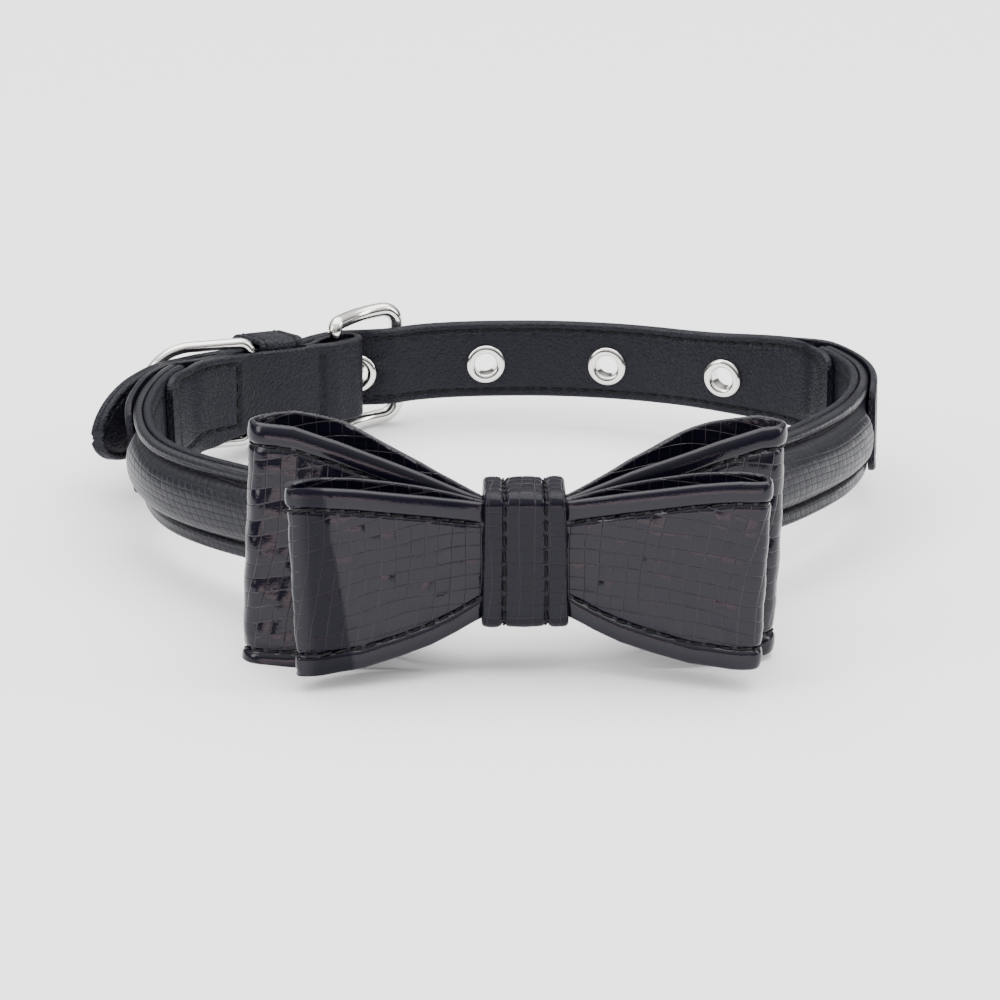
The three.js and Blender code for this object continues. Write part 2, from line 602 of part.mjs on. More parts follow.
// D shape: a straight bar held in the tab, two arms and a half round bow
function dRing() {
  const centre = onLoop(RING_AT, D_RING.lift, 0);
  const along = onLoop(RING_AT + 1, D_RING.lift, 0).sub(centre).normalize();
  along.applyAxisAngle(UP, -D_RING.splay * DEGREE);
  const half = D_RING.height / 2;
  const bowStart = D_RING.reach - half;
  const bar = STEPS.ringBar;
  const points = [];
  for (let i = -bar; i <= bar; i++) points.push([0, (i / bar) * (half - D_RING.corner)]);
  for (const step of [1, 2, 3]) points.push(cornerPoint(step / 3, half, 1));
  for (let i = 0; i <= STEPS.ringBow; i++) {
    const angle = Math.PI / 2 - (i * Math.PI) / STEPS.ringBow;
    points.push([bowStart + half * Math.cos(angle), half * Math.sin(angle)]);
  }
  for (const step of [3, 2, 1]) points.push(cornerPoint(step / 3, half, -1));
  const placed = points.map(([u, z]) => centre.clone().addScaledVector(along, u).addScaledVector(UP, z));
  return wire(placed, RING_RADIUS, PIN_STEPS.round, true);
}

function cornerPoint(share, half, sign) {
  const angle = (share * Math.PI) / 2;
  const radius = D_RING.corner;
  return [radius * (1 - Math.cos(angle)), sign * (half - radius + radius * Math.sin(angle))];
}

// Band of leather whose outer and inner outlines close on themselves; run carries them across its width
function ringBand(outer, inner, run, place) {
  const outside = run.map((across) => [across, 1]);
  const inside = [...run].reverse().map((across) => [across, 0]);
  const spot = (i, across, isOuter) => place(across, ...(isOuter ? outer : inner)[i], isOuter);
  return loft([...outer.keys()], () => [...outside, ...inside], spot, true);
}

// Points round a rectangle with rounded corners, anticlockwise
function roundedOutline(a0, b0, a1, b1, radius, perCorner, perSide) {
  const [left, right, low, high] = [a0 + radius, a1 - radius, b0 + radius, b1 - radius];
  const corners = [[right, high], [left, high], [left, low], [right, low]];
  const onCorner = (quarter, share) => {
    const [a, b] = corners[quarter % 4];
    const angle = ((quarter + share) * Math.PI) / 2;
    return new THREE.Vector2(a + radius * Math.cos(angle), b + radius * Math.sin(angle));
  };
  const points = [];
  for (let quarter = 0; quarter < 4; quarter++) {
    for (let step = 0; step <= perCorner; step++) points.push(onCorner(quarter, step / perCorner));
    const from = onCorner(quarter, 1);
    const to = onCorner(quarter + 1, 0);
    for (let step = 1; step < perSide; step++) points.push(from.clone().lerp(to, step / perSide));
  }
  return points.map((point) => [point.x, point.y]);
}

// Loop of leather round the tongue, its ends caught between the tab's two layers
function keeper() {
  const inside = KEEPER.lift + KEEPER.wall;
  const from = KEEPER_AT - KEEPER.width / 2;
  const to = KEEPER_AT + KEEPER.width / 2;
  const outside = Math.max(strapInner(from), strapInner(to)) + STRAP.thick + EYELET.rim + KEEPER_ROOM.over;
  const half = TAB.width / 2 + KEEPER_ROOM.side;
  const { wall, corner } = KEEPER;
  const outer = roundedOutline(KEEPER.lift, -half - wall, outside + wall, half + wall, corner, 3, 2);
  const inner = roundedOutline(inside, -half, outside, half, corner - wall, 3, 2);
  const slanted = (at, offset) => at + Math.max(0, offset - inside) * KEEPER.slant;
  return ringBand(outer, inner, places(from, to, PITCH.slot), (at, a, b) => onLoop(slanted(at, a), a, b));
}

// Where the layers lie in the knot, from the collar's inner face towards the front
function knotStack() {
  const pitch = BOW.wall + GAP;
  const panelFront = FRONT_INSIDE - PANEL_FLAT - PAD.atKnot;
  const first = panelFront - GAP - BOW.wall / 2;
  const walls = [0, 1, 2, 3].map((i) => first - i * pitch);
  return { walls, front: walls[3] - BOW.wall / 2 - GAP };
}

// The bow faces a little to one side, turned about the middle of the knot, and sits a little aside
function turned(spot) {
  const pivot = new THREE.Vector3(0, FRONT_INSIDE, 0);
  return spot.sub(pivot).applyAxisAngle(UP, -BOW.turn * DEGREE).add(onLoop(BOW.aside, 0, 0));
}

// A pair of loops made of one endless strip, pinched at the knot
function bowLoops(size, trim, rows, backWall, frontWall) {
  const half = size.width / 2 - BOW.wall / 2;
  const point = (row, side, wall, column) =>
    new THREE.Vector3(side * row.out * half, wall + row[column] * size.depth, 0);
  const last = rows[rows.length - 1];
  const tipShare = (last.front + last.back) / 2;
  const tipDeep = (frontWall + backWall) / 2 + tipShare * size.depth;
  const tip = (side) => new THREE.Vector3(side * half, tipDeep, 0);
  const front = rows.slice(1);
  const route = [
    point(rows[0], 1, frontWall, "front"),
    ...front.map((row) => point(row, 1, frontWall, "front")),
    tip(1),
    ...[...front].reverse().map((row) => point(row, 1, backWall, "back")),
    point(rows[0], 1, backWall, "back"),
    ...front.map((row) => point(row, -1, backWall, "back")),
    tip(-1),
    ...[...front].reverse().map((row) => point(row, -1, frontWall, "front")),
  ];
  const curve = new THREE.CatmullRomCurve3(route, true, "centripetal");
  curve.arcLengthDivisions = 1200;
  const waist = BOW.waist / 2;
  const knotHalf = KNOT.width / 2;
  const place = (u, side, level) => {
    const centre = curve.getPointAt(u % 1);
    const along = curve.getTangentAt(u % 1);
    const across = centre.x / half;
    const share = (Math.abs(centre.x + size.aside) - knotHalf) / (half - knotHalf);
    const slow = readTable(OPENING, "out", "slow", share);
    const fast = readTable(OPENING, "out", "fast", share);
    const rear = (1 - Math.cos(2 * Math.PI * u)) / 2;
    const open = level > 0 ? THREE.MathUtils.lerp(slow, fast, BOW.rearOpen * rear) : fast;
    const full = level > 0 ? size.rise : size.drop;
    const height = (waist + (full - waist) * open) * (1 + trim.swell * across);
    const belly = (1 - level * level) * BOW.belly * slow * (1 - rear);
    const out = new THREE.Vector3(along.y, -along.x, 0);
    const spot = centre.addScaledVector(out, (side * BOW.wall) / 2 + belly);
    spot.y += size.lean * slow * level;
    spot.z = level * height + spot.x * Math.tan(trim.roll * DEGREE);
    spot.x += size.aside + (trim.slant + trim.taper * across) * open * level;
    return turned(spot);
  };
  const stations = Array.from({ length: STEPS.bow }, (_, i) => i / STEPS.bow);
  const section = () => [[1, -1], [1, 0], [1, 1], [-1, 1], [-1, 0], [-1, -1]];
  return loft(stations, section, place, true);
}

// Strip wrapped round the bow and the panel, with two stitched grooves down its front
function bowKnot() {
  const { front } = knotStack();
  const back = FRONT_INSIDE + KNOT.backRoom;
  const half = KNOT.height / 2;
  const { wall, corner, innerCorner } = KNOT;
  const outer = roundedOutline(front - wall, -half, back + wall, half, corner, 4, 3);
  const inner = roundedOutline(front, wall - half, back, half - wall, innerCorner, 4, 3);
  const side = KNOT.width / 2;
  const { at, half: grooveHalf, deep } = KNOT_GROOVE;
  const sunk = new Map([[-side, KNOT_EDGE.rolled], [KNOT_EDGE.width - side, 0]]);
  for (const groove of [-at, at]) {
    sunk.set(groove - grooveHalf, 0).set(groove, deep).set(groove + grooveHalf, 0);
  }
  sunk.set(side - KNOT_EDGE.width, 0).set(side, KNOT_EDGE.rolled);
  const middle = (front + back) / 2;
  return ringBand(outer, inner, [...sunk.keys()], (x, y, z, isOuter) => {
    const inwards = isOuter * sunk.get(x);
    return turned(new THREE.Vector3(x, y + inwards * Math.sign(middle - y), z - inwards * Math.sign(z)));
  });
}

// Finishes
const smoothLeather = new THREE.MeshStandardMaterial({ color: 0x17171a, roughness: 0.55, metalness: 0 });
const patentLeather = new THREE.MeshStandardMaterial({ color: 0x0b0b0d, roughness: 0.18, metalness: 0 });
const nickel = new THREE.MeshStandardMaterial({ color: 0xc9c6bf, roughness: 0.16, metalness: 1 });

function piece(name, geometry, material) {
  geometry.computeVertexNormals();
  const mesh = new THREE.Mesh(geometry, material);
  mesh.name = name;
  return mesh;
}

const { walls } = knotStack();
const frame = buckleFrame();
const backLoops = bowLoops(BACK_LOOPS, BACK_TRIM, BACK_LOOP_ROWS, walls[0], walls[1]);
const frontLoops = bowLoops(FRONT_LOOPS, FRONT_TRIM, FRONT_LOOP_ROWS, walls[2], walls[3]);

// The rest: the buckle's lower rail and the bow's lower edges stand on one plane
frame.computeBoundingBox();
const railLow = frame.boundingBox.min.z;
const railDeep = frame.boundingBox.max.y - FRAME.wire / 2;
const bowLow = PRESS - BACK_LOOPS.drop;
const bowDeep = walls[1];
const REST_TILT = Math.atan2(railLow - bowLow, railDeep - bowDeep);

// The plane that the collar rests on trims the bow's soft lower edges flat
function trimToRest(geometry) {
  const size = 3 * LOOP.width;
  const below = new THREE.BoxGeometry(size, size, size);
  below.translate(0, 0, -size / 2).rotateX(REST_TILT).translate(0, bowDeep, bowLow);
  return geometryOf(solidOf(geometry).subtract(solidOf(below)));
}

const collar = new THREE.Group();
collar.add(
  piece("panel_lining", panelLining(), smoothLeather),
  piece("panel_cover", panelCover(), patentLeather),
  piece("tongue_strap", tongueStrap(), smoothLeather),
  piece("buckle_tab", buckleTab(), smoothLeather),
  piece("keeper", keeper(), smoothLeather),
  piece("buckle_frame", frame, nickel),
  piece("buckle_prong", buckleProng(), nickel),
  piece("d_ring", dRing(), nickel),
  piece("bow_back_loops", trimToRest(backLoops), patentLeather),
  piece("bow_front_loops", frontLoops, patentLeather),
  piece("bow_knot", bowKnot(), patentLeather),
);
eyeletPlaces().forEach((at, i) => collar.add(piece(`eyelet_${i + 1}`, eyelet(at), nickel)));
collar.rotation.x = -REST_TILT;

// Origin under the middle of the whole collar, on the surface that it rests on
const assembly = new THREE.Group();
assembly.add(collar);
assembly.updateMatrixWorld(true);
const bounds = new THREE.Box3().setFromObject(assembly, true);
collar.position.set(-(bounds.min.x + bounds.max.x) / 2, -(bounds.min.y + bounds.max.y) / 2, -bounds.min.z);

export default assembly;
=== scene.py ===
"""A small-dog collar with a double bow, dressed in leather, thread and nickel round its solids.

Shapes are worked out in millimetres with the loop level, and settled() brings them to the way that
the collar rests. Places along the collar are lengths round its inner face from the middle of the bow.
"""

import json
import math

import bpy
import numpy as np
from mathutils import Matrix, Vector


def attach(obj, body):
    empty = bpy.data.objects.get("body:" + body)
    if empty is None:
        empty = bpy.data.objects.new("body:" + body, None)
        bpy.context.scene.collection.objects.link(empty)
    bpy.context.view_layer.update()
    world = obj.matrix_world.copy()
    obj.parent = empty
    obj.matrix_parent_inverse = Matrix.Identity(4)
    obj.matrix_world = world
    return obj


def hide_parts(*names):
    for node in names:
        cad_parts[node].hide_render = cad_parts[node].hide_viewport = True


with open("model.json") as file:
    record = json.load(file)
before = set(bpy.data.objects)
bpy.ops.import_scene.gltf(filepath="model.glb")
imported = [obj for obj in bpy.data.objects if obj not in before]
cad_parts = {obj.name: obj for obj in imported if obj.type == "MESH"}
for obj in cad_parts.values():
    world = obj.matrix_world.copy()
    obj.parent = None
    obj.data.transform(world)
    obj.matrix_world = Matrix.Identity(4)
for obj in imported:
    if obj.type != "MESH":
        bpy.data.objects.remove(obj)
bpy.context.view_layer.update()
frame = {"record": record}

# Sizes of the solids, in millimetres
GAP = 0.3
LOOP_WIDTH, LOOP_DEPTH = 139, 124
PANEL_WIDTH, PANEL_RIGHT, PANEL_LEFT_RUN = 19, 132, 124.5
LINING_THICK, FLANGE_THICK = 1.9, 1.6
PAD_LIFT, PAD_HIGH, PAD_LOW, PAD_AT_KNOT, PAD_RUN = 3.1, 6.4, 5.4, 0.5, 52
PAD_FADE = (2, 7)
STRAP_WIDTH, STRAP_THICK, FLARE_FROM, TONGUE, SETTLE = 16, 2.7, 166, 61, 9
TIP_LENGTH, TIP_CUT, TIP_POWER, TIP_FLARE, TIP_FLARE_RUN, TIP_DROOP = 11, 0.95, 2.1, 6.2, 22, 2.4
LAYER, FORK_BLEND, FORK_CROTCH, FORK_ROOM, FORK_CORNER = 1.4, 9, 0.6, 0.15, 5
RIGHT_INNER, RIGHT_OUTER, LEFT_INNER_RUN, LEFT_OUTER_RUN = 125, 104, 113.5, 99.5
TAB_WIDTH, TAB_THICK, FOLD_REACH, FOLD_SLACK, SEAT = 17, 3.4, 2.9, 1, 0.95
SLOT_HALF, SLOT_PAST = 2.3, 0.8
FRAME_HEIGHT, FRAME_LENGTH, FRAME_WIRE, FRAME_CAMBER, FRAME_CORNER = 26, 18.8, 3, 1.6, 4.8
HEEL_TO_PANEL, HEEL_RADIUS, HEEL_LIFT, HEEL_CORNER = 41, 1.1, 1.9, 1.6
PIN_RADIUS, PIN_SUNK, PIN_RISE, PIN_CROWN, PIN_PAST = 0.95, 0.3, 0.9, 1.1, 1.6
COIL_WALL, COIL_HALF = 0.8, 1.6
EYELET_OUTER, EYELET_HOLE, EYELET_BARREL, EYELET_RIM, EYELET_BELOW = 8.2, 4.5, 0.45, 0.5, 0.8
EYELET_SPACING, EYELET_FROM_HEEL, EYELETS_BEFORE, EYELETS_AFTER = 25.4, 7.7, 3, 1
RING_WIRE, RING_HEIGHT, RING_REACH, RING_CORNER = 2.2, 20.8, 23, 2.4
RING_TO_PANEL, RING_LIFT, RING_SPLAY = 20.4, 1.9, 14.9
KEEPER_WIDTH, KEEPER_WALL, KEEPER_LIFT, KEEPER_TO_RING = 10, 1.2, 1.2, 7.2
KEEPER_CORNER, KEEPER_SLANT, KEEPER_OVER, KEEPER_SIDE = 1.9, 0.32, 0.5, 0.8
BOW_WALL, BOW_WAIST, BOW_BELLY, BOW_REAR_OPEN, BOW_TURN, BOW_ASIDE = 1.1, 22.4, 0.7, 0.55, 5, 1.3
BACK_LOOPS = {
    "width": 100, "rise": 22.8, "drop": 22.6, "depth": 20, "lean": 2.8, "aside": -1.9,
    "roll": 0.3, "slant": 1, "taper": 0.2, "swell": -0.04,
}
FRONT_LOOPS = {
    "width": 88.5, "rise": 17.4, "drop": 19.2, "depth": 10, "lean": 0, "aside": 0,
    "roll": 0.4, "slant": 0, "taper": 0.95, "swell": 0,
}
KNOT_WIDTH, KNOT_HEIGHT, KNOT_WALL, KNOT_BACK, KNOT_CORNER = 15.8, 26, 1.3, 0.9, 2.4
KNOT_GROOVE = 3.9

# Inner outline of the loop: across and deep are shares of its width and depth, lean is in degrees,
# and lift is a share of the panel's width
OUTLINE = np.array([
    (0.000, 0.000, 0, 0), (0.065, -0.003, 0, 0), (0.144, 0.070, 0, 0), (0.324, 0.224, 0, 0),
    (0.424, 0.328, 0, 0), (0.504, 0.452, 0, 0), (0.545, 0.585, 0, 0), (0.543, 0.690, 0, 0),
    (0.496, 0.801, 0, 0), (0.392, 0.877, 0, 0), (0.249, 0.960, 0, 0), (0.101, 0.998, 0, 0),
    (-0.050, 0.990, 0, 0), (-0.139, 0.945, 0, -0.03), (-0.216, 0.891, 0, -0.03), (-0.317, 0.841, 0, 0),
    (-0.385, 0.782, 0, 0.03), (-0.435, 0.673, 2, 0.03), (-0.457, 0.544, 6, -0.03),
    (-0.435, 0.407, 10, -0.08), (-0.324, 0.248, 8, -0.09), (-0.144, 0.084, 2, -0.04), (-0.065, 0.011, 0, 0),
])
# One half of each pair of loops: out is a share of the half width, front and back of the depth
BACK_ROWS = np.array([
    (0.00, 0.00, 0.00), (0.19, 0.00, 0.01), (0.32, 0.03, 0.08), (0.48, 0.08, 0.33), (0.68, 0.12, 0.68),
    (0.89, 0.24, 0.61), (0.98, 0.32, 0.46),
])
FRONT_ROWS = np.array([
    (0.00, 0.00, 0.00), (0.21, -0.02, 0.00), (0.38, -0.24, -0.02), (0.60, -0.52, -0.08),
    (0.80, -0.76, -0.26), (0.94, -0.94, -0.50), (0.99, -0.90, -0.66),
])
# How far a strip has widened from its waist, by its share of the way out from the knot: for the upper
# edge of a front wall, and for the lower edges
OPENING = np.array([
    (0.00, 0.00, 0.00), (0.14, 0.18, 0.30), (0.28, 0.36, 0.55), (0.45, 0.55, 0.75),
    (0.65, 0.78, 0.94), (0.86, 0.985, 1.00), (1.00, 1.00, 1.00),
])

# Pressed scales, in millimetres along and across, and how far they stand out
PANEL_SCALE, BOW_SCALE, KNOT_SCALE = (1.6, 1.4), (2.85, 2.75), (2.75, 2.6)
PANEL_RELIEF, BOW_RELIEF, KNOT_RELIEF = 0.08, 0.09, 0.08
# Bow: the hem and its groove, dents, and on the front left loop a crease, at a share of the half
# width, beyond which the leather turns back and its coat is thinned as painted shade
BOW_ROWS, BOW_DENTS, HEM, HEM_PUFF, SEAM_DEEP, SEAM_WIDE = 104, 0.17, 4.2, 0.42, 0.55, 0.42
CREASE_AT, CREASE_LEAN, CREASE_DEEP, CREASE_HALF = 0.79, 0.0027, 0.45, 0.013
END_TURN, END_SHADE = 1.0, 0.8
KNOT_GROOVE_DEEP, KNOT_GROOVE_HALF, PLEAT_PUFF = 0.55, 0.42, 0.3
# Sewn seams: how far they lie from an edge and from a free end, and how deep the groove is
PAD_SEAM, STRAP_SEAM, STRAP_HEM, TAB_SEAM, TAB_HEM, SEAM_CORNER = 0.45, 1.6, 4.2, 1.8, 5, 2.2
KEEPER_SEAMS = (1.5 - KEEPER_WIDTH / 2, KEEPER_WIDTH / 2 - 1.5)
PAD_SEAMS = (PAD_HIGH + PAD_SEAM, -PAD_LOW - PAD_SEAM)
SEAM_SUNK, SEAM_HALF = 0.5, 0.5
STITCH_PITCH, STITCH_LONG, STITCH_WIDE, THREAD_SUNK = 2.9, 2.1, 0.5, 0.36
TAB_PITCH, TAB_SAG, TAB_ROUNDED, CORNER_CUT = 0.35, 2.0, (0.7, 0.2), 0.55
FLOOR_GAP = 0.00002

# Camera: its rise and turn from the front of the level loop, in degrees, its distance and the scale
VIEW_RISE, VIEW_TURN, VIEW_FAR, PIXELS_A_MILLIMETRE, SENSOR = 17.5, -6.5, 1100, 5.2, 36


def ramp(value, a, b):
    """Smooth step from 0 at a to 1 at b: three times the square less twice the cube of the share."""
    t = np.clip((value - a) / (b - a), 0, 1)
    return t * t * (3 - 2 * t)


def spline(points, t):
    """Closed centripetal Catmull-Rom: each span is a cubic whose end slopes weigh the neighbours by
    the square roots of the distances between points."""
    n = len(points)
    i = np.floor(t).astype(int)
    w = (t - i)[..., None]
    p0, p1, p2, p3 = (points[(i + k) % n] for k in (-1, 0, 1, 2))
    spans = (p1 - p0, p2 - p1, p3 - p2)
    d0, d1, d2 = (np.sqrt(np.linalg.norm(span, axis=-1))[..., None] for span in spans)
    m1 = ((p1 - p0) / d0 - (p2 - p0) / (d0 + d1) + (p2 - p1) / d1) * d1
    m2 = ((p2 - p1) / d1 - (p3 - p1) / (d1 + d2) + (p3 - p2) / d2) * d1
    return p1 + m1 * w + (3 * (p2 - p1) - 2 * m1 - m2) * w**2 + (2 * (p1 - p2) + m1 + m2) * w**3


def traced(points, samples=160):
    """Table of a closed curve in plan: length so far, x, y, and the direction's x and y."""
    t = np.linspace(0, len(points), len(points) * samples + 1)
    spots = spline(points, t)
    ahead = spline(points, t + 1e-4) - spline(points, t - 1e-4)
    ahead /= np.linalg.norm(ahead, axis=1, keepdims=True)
    steps = np.linalg.norm(np.diff(spots, axis=0), axis=1)
    return np.column_stack([np.concatenate([[0], np.cumsum(steps)]), spots, ahead]), t


FRONT_INSIDE = -0.222 * LOOP_DEPTH
LOOP_PLAN = np.column_stack([OUTLINE[:, 0] * LOOP_WIDTH, FRONT_INSIDE + OUTLINE[:, 1] * LOOP_DEPTH])
LOOP_TABLE, LOOP_TIMES = traced(LOOP_PLAN)
LOOP_LEAN = np.radians(spline(np.column_stack([LOOP_PLAN, OUTLINE[:, 2]]), LOOP_TIMES)[:, 2])
LOOP_LIFT = spline(np.column_stack([LOOP_PLAN, OUTLINE[:, 3] * PANEL_WIDTH]), LOOP_TIMES)[:, 2]
ROUND = LOOP_TABLE[-1, 0]


def on_loop(at, offset, height):
    """Place at a length round the loop, an offset outwards and a height, turned by the lean there."""
    at, offset, height = np.broadcast_arrays(at, offset, height)
    u = np.mod(at, ROUND)
    x, y, tx, ty = (np.interp(u, LOOP_TABLE[:, 0], LOOP_TABLE[:, k]) for k in (1, 2, 3, 4))
    lean = np.interp(u, LOOP_TABLE[:, 0], LOOP_LEAN)
    outwards = offset * np.cos(lean) + height * np.sin(lean)
    rise = height * np.cos(lean) - offset * np.sin(lean) + np.interp(u, LOOP_TABLE[:, 0], LOOP_LIFT)
    return np.stack([x + ty * outwards, y - tx * outwards, rise], -1)


# Places that follow from the sizes
PANEL_LEFT = ROUND - PANEL_LEFT_RUN
HEEL_AT, RING_AT = PANEL_LEFT - HEEL_TO_PANEL, PANEL_LEFT - RING_TO_PANEL
END_AT = HEEL_AT - (FRAME_LENGTH - FRAME_WIRE)
FOLD_AT = HEEL_AT - FOLD_REACH
END_LIFT = STRAP_THICK + GAP + FRAME_WIRE / 2
FOLD_RADIUS = HEEL_RADIUS + GAP + COIL_WALL + GAP + 0.8
FOLD_TOP = HEEL_LIFT + FOLD_RADIUS
RING_RADIUS = RING_WIRE / 2
RING_POCKET = RING_LIFT + RING_RADIUS + GAP + 0.8
PANEL_FLAT = LINING_THICK + GAP + FLANGE_THICK
LEFT_INNER, LEFT_OUTER = ROUND - LEFT_INNER_RUN, ROUND - LEFT_OUTER_RUN
OUTER_LAYER = PANEL_FLAT + GAP + FORK_ROOM
PRONG_EYELET = HEEL_AT - EYELET_FROM_HEEL
TONGUE_END = PRONG_EYELET + TONGUE
KEEPER_AT = RING_AT - KEEPER_TO_RING
CROTCH = PANEL_RIGHT + GAP + FORK_CROTCH
TAB_SEAM_FOLD, TAB_SEAM_NEAR = HEEL_AT + 5, RING_AT + 3.9
EYELETS = [PRONG_EYELET + k * EYELET_SPACING for k in range(-EYELETS_BEFORE, EYELETS_AFTER + 1)]

# The rest: the ring's hinge is the same place in both frames
hinge = frame["record"]["behaviour"]["joints"][0]
_, tilt_sine, tilt_cosine = (-a for a in hinge["axis"])
REST_TURN = np.array([[1, 0, 0], [0, tilt_cosine, tilt_sine], [0, -tilt_sine, tilt_cosine]])
REST_SHIFT = np.array(hinge["pos_m"]) - REST_TURN @ (on_loop(RING_AT, RING_LIFT, 0) * (1, 1, 0)) / 1000


def settled(points):
    """Level millimetres to resting metres: one turn about X, then a shift."""
    return points @ REST_TURN.T / 1000 + REST_SHIFT


def near(at, middle, full, none):
    """1 within a distance of a place, and 0 beyond a longer one, with a smooth step between."""
    return 1 - ramp(np.abs(at - middle), full, none)


def fold_at(at):
    """1 at the fold round the heel bar, and 0 beyond it."""
    return 1 - ramp(at, HEEL_AT + 1, HEEL_AT + FOLD_RADIUS + 3.5)


def tab_outer(at):
    """The tab's outer face: its thickness, raised at the fold, over the ring's bar and at the fork."""
    pocket = near(at, RING_AT, 1, 4.5)
    fork = ramp(at, PANEL_LEFT - FORK_BLEND, PANEL_LEFT)
    lift = TAB_THICK + fold_at(at) * (FOLD_TOP - TAB_THICK) + pocket * (RING_POCKET - TAB_THICK)
    return lift + fork * (OUTER_LAYER + LAYER - TAB_THICK)


def strap_inner(at):
    """The strap's inner face: flush before the buckle, over the fold, then along the tab, then free."""
    over_fold = FOLD_TOP + GAP + FOLD_SLACK
    before = over_fold * ramp(at, END_AT + PIN_RADIUS - GAP, FOLD_AT + SLOT_PAST)
    over_tab = np.maximum(RING_POCKET, tab_outer(at + 2)) + SEAT
    free = np.maximum(0, (at - (TONGUE_END - TIP_FLARE_RUN)) / TIP_FLARE_RUN)
    after = over_fold + (over_tab - over_fold) * ramp(at, HEEL_AT, HEEL_AT + SETTLE) + TIP_FLARE * free**1.5
    return np.where(at < HEEL_AT, before, after)


def strap_droop(at):
    """How far the tongue's free end hangs down, as a smooth step."""
    return -TIP_DROOP * ramp(at, TONGUE_END - TIP_FLARE_RUN, TONGUE_END)


def strap_half(at):
    """Half width of the strap: wider at the panel, and round at the tip."""
    half = STRAP_WIDTH / 2 + (1 - ramp(at, PANEL_RIGHT, FLARE_FROM)) * (PANEL_WIDTH - STRAP_WIDTH) / 2
    tip = np.clip((at - (TONGUE_END - TIP_LENGTH)) / TIP_LENGTH, 0, 1)
    return half * np.sqrt(1 - TIP_CUT * tip**TIP_POWER)


def tab_half(at):
    """Half width of the tab, which grows smoothly to the panel's at the fork."""
    return TAB_WIDTH / 2 + ramp(at, PANEL_LEFT - FORK_BLEND, LEFT_INNER) * (PANEL_WIDTH - TAB_WIDTH) / 2


def pad_height(at):
    """Height of the pad: full on the sides, pressed flat at the knot and under the forks."""
    at = np.mod(at, ROUND)
    from_knot = np.minimum(at, ROUND - at)
    full = PAD_AT_KNOT + (PAD_LIFT - PAD_AT_KNOT) * ramp(from_knot, KNOT_WIDTH / 2, PAD_RUN)
    nearest = np.where(at < ROUND / 2, RIGHT_OUTER - at, at - LEFT_OUTER)
    return full * ramp(nearest, *PAD_FADE)


def round_end(at, free, root, corner):
    """1 along a strip and falling to a small share at its free end, as a quarter circle does."""
    t = np.clip(1 - np.abs(free - at) / corner, 0, 1)
    return np.where(np.abs(at - root) <= np.abs(free - root), np.sqrt(np.maximum(0, 1 - t * t)), 0)


# Surfaces


def places(a, b, pitch):
    """Even places from a to b, both kept, about a pitch apart."""
    return np.linspace(a, b, max(1, round(abs(b - a) / pitch)) + 1)


def joined(*runs):
    """Runs of places end to end, with shared ends kept once."""
    return np.concatenate([runs[0]] + [run[1:] for run in runs[1:]])


def section(rows, corner=4):
    """Outline of a strip's section, from its lower edge up the outer face and back down the inner one.
    across goes from -1 to 1 on the faces, and sine and cosine follow the rounding at the edges."""
    turn = (np.arange(corner) + 0.5) / corner * (math.pi / 2)
    face = np.linspace(-1, 1, rows) if np.isscalar(rows) else np.asarray(rows)
    across = np.concatenate([np.full(corner, -1.0), face, np.full(corner, 1.0)])
    sine = np.concatenate([np.sin(turn), np.ones(len(face)), np.sin(turn[::-1])])
    cosine = np.concatenate([-np.cos(turn), np.zeros(len(face)), np.cos(turn[::-1])])
    side = np.ones(len(sine))
    return {
        "across": np.concatenate([across, across[::-1]]),
        "sine": np.concatenate([sine, sine[::-1]]),
        "cosine": np.concatenate([cosine, cosine[::-1]]),
        "side": np.concatenate([side, -side]),
        "corner": corner,
        "rows": len(face),
    }


def strip_offsets(shape, low, high, half, edge):
    """Offset and height of each point of a strip: faces at low and high, and edges rounded by edge,
    one radius for the outer side and one for the inner."""
    radius = np.where(shape["side"] > 0, edge[0], edge[1])
    face = np.where(shape["side"] > 0, high[:, None], low[:, None])
    offset = face - shape["side"] * radius * (1 - shape["sine"])
    height = shape["across"] * (half[:, None] - radius) + shape["cosine"] * radius
    return offset, height


def quads(rows, columns, closed):
    """Faces between neighbouring rows of a grid whose columns close on themselves."""
    i = np.arange(rows if closed else rows - 1)[:, None]
    j = np.arange(columns)[None, :]
    k = (j + 1) % columns
    n = (i + 1) % rows
    return np.stack([i * columns + j, i * columns + k, n * columns + k, n * columns + j], -1)


def caps(rows, columns):
    """Faces that close a strip's two ends, each joining the outer half of its section to the inner."""
    k = np.arange(columns // 2 - 1)
    end = np.stack([k, k + 1, columns - 2 - k, columns - 1 - k], -1)
    return np.concatenate([end[:, ::-1], end + (rows - 1) * columns])


def capped(shape):
    """Faces of an open strip whose points have this shape, with both ends closed."""
    return np.concatenate([quads(*shape, False).reshape(-1, 4), caps(*shape)])


def hole_faces(faces, shape, holes):
    """Leaves out the faces inside each hole, on both sides of a strip, and walls the hole's rim."""
    columns = faces.shape[1]
    keep = np.ones(faces.shape[:2], bool)
    walls = []
    for i0, i1, j0, j1 in holes:
        a, b = shape["corner"] + j0, shape["corner"] + j1
        keep[i0:i1, a:b] = False
        keep[i0:i1, columns - 1 - b:columns - 1 - a] = False
        rim = [(i, a) for i in range(i0, i1)] + [(i1, j) for j in range(a, b)]
        rim += [(i, b) for i in range(i1, i0, -1)] + [(i0, j) for j in range(b, a, -1)]
        rim = np.array(rim)
        outer = rim[:, 0] * columns + rim[:, 1]
        inner = rim[:, 0] * columns + columns - 1 - rim[:, 1]
        walls.append(np.stack([outer, np.roll(outer, -1), np.roll(inner, -1), inner], -1))
    return np.concatenate([faces[keep]] + walls)


def no_seam(offset):
    """Seam map of a strip without a hem: every point far inside its edges, and none with painted shade."""
    return np.stack([np.full(offset.shape, 3 * HEM), 0 * offset], -1)


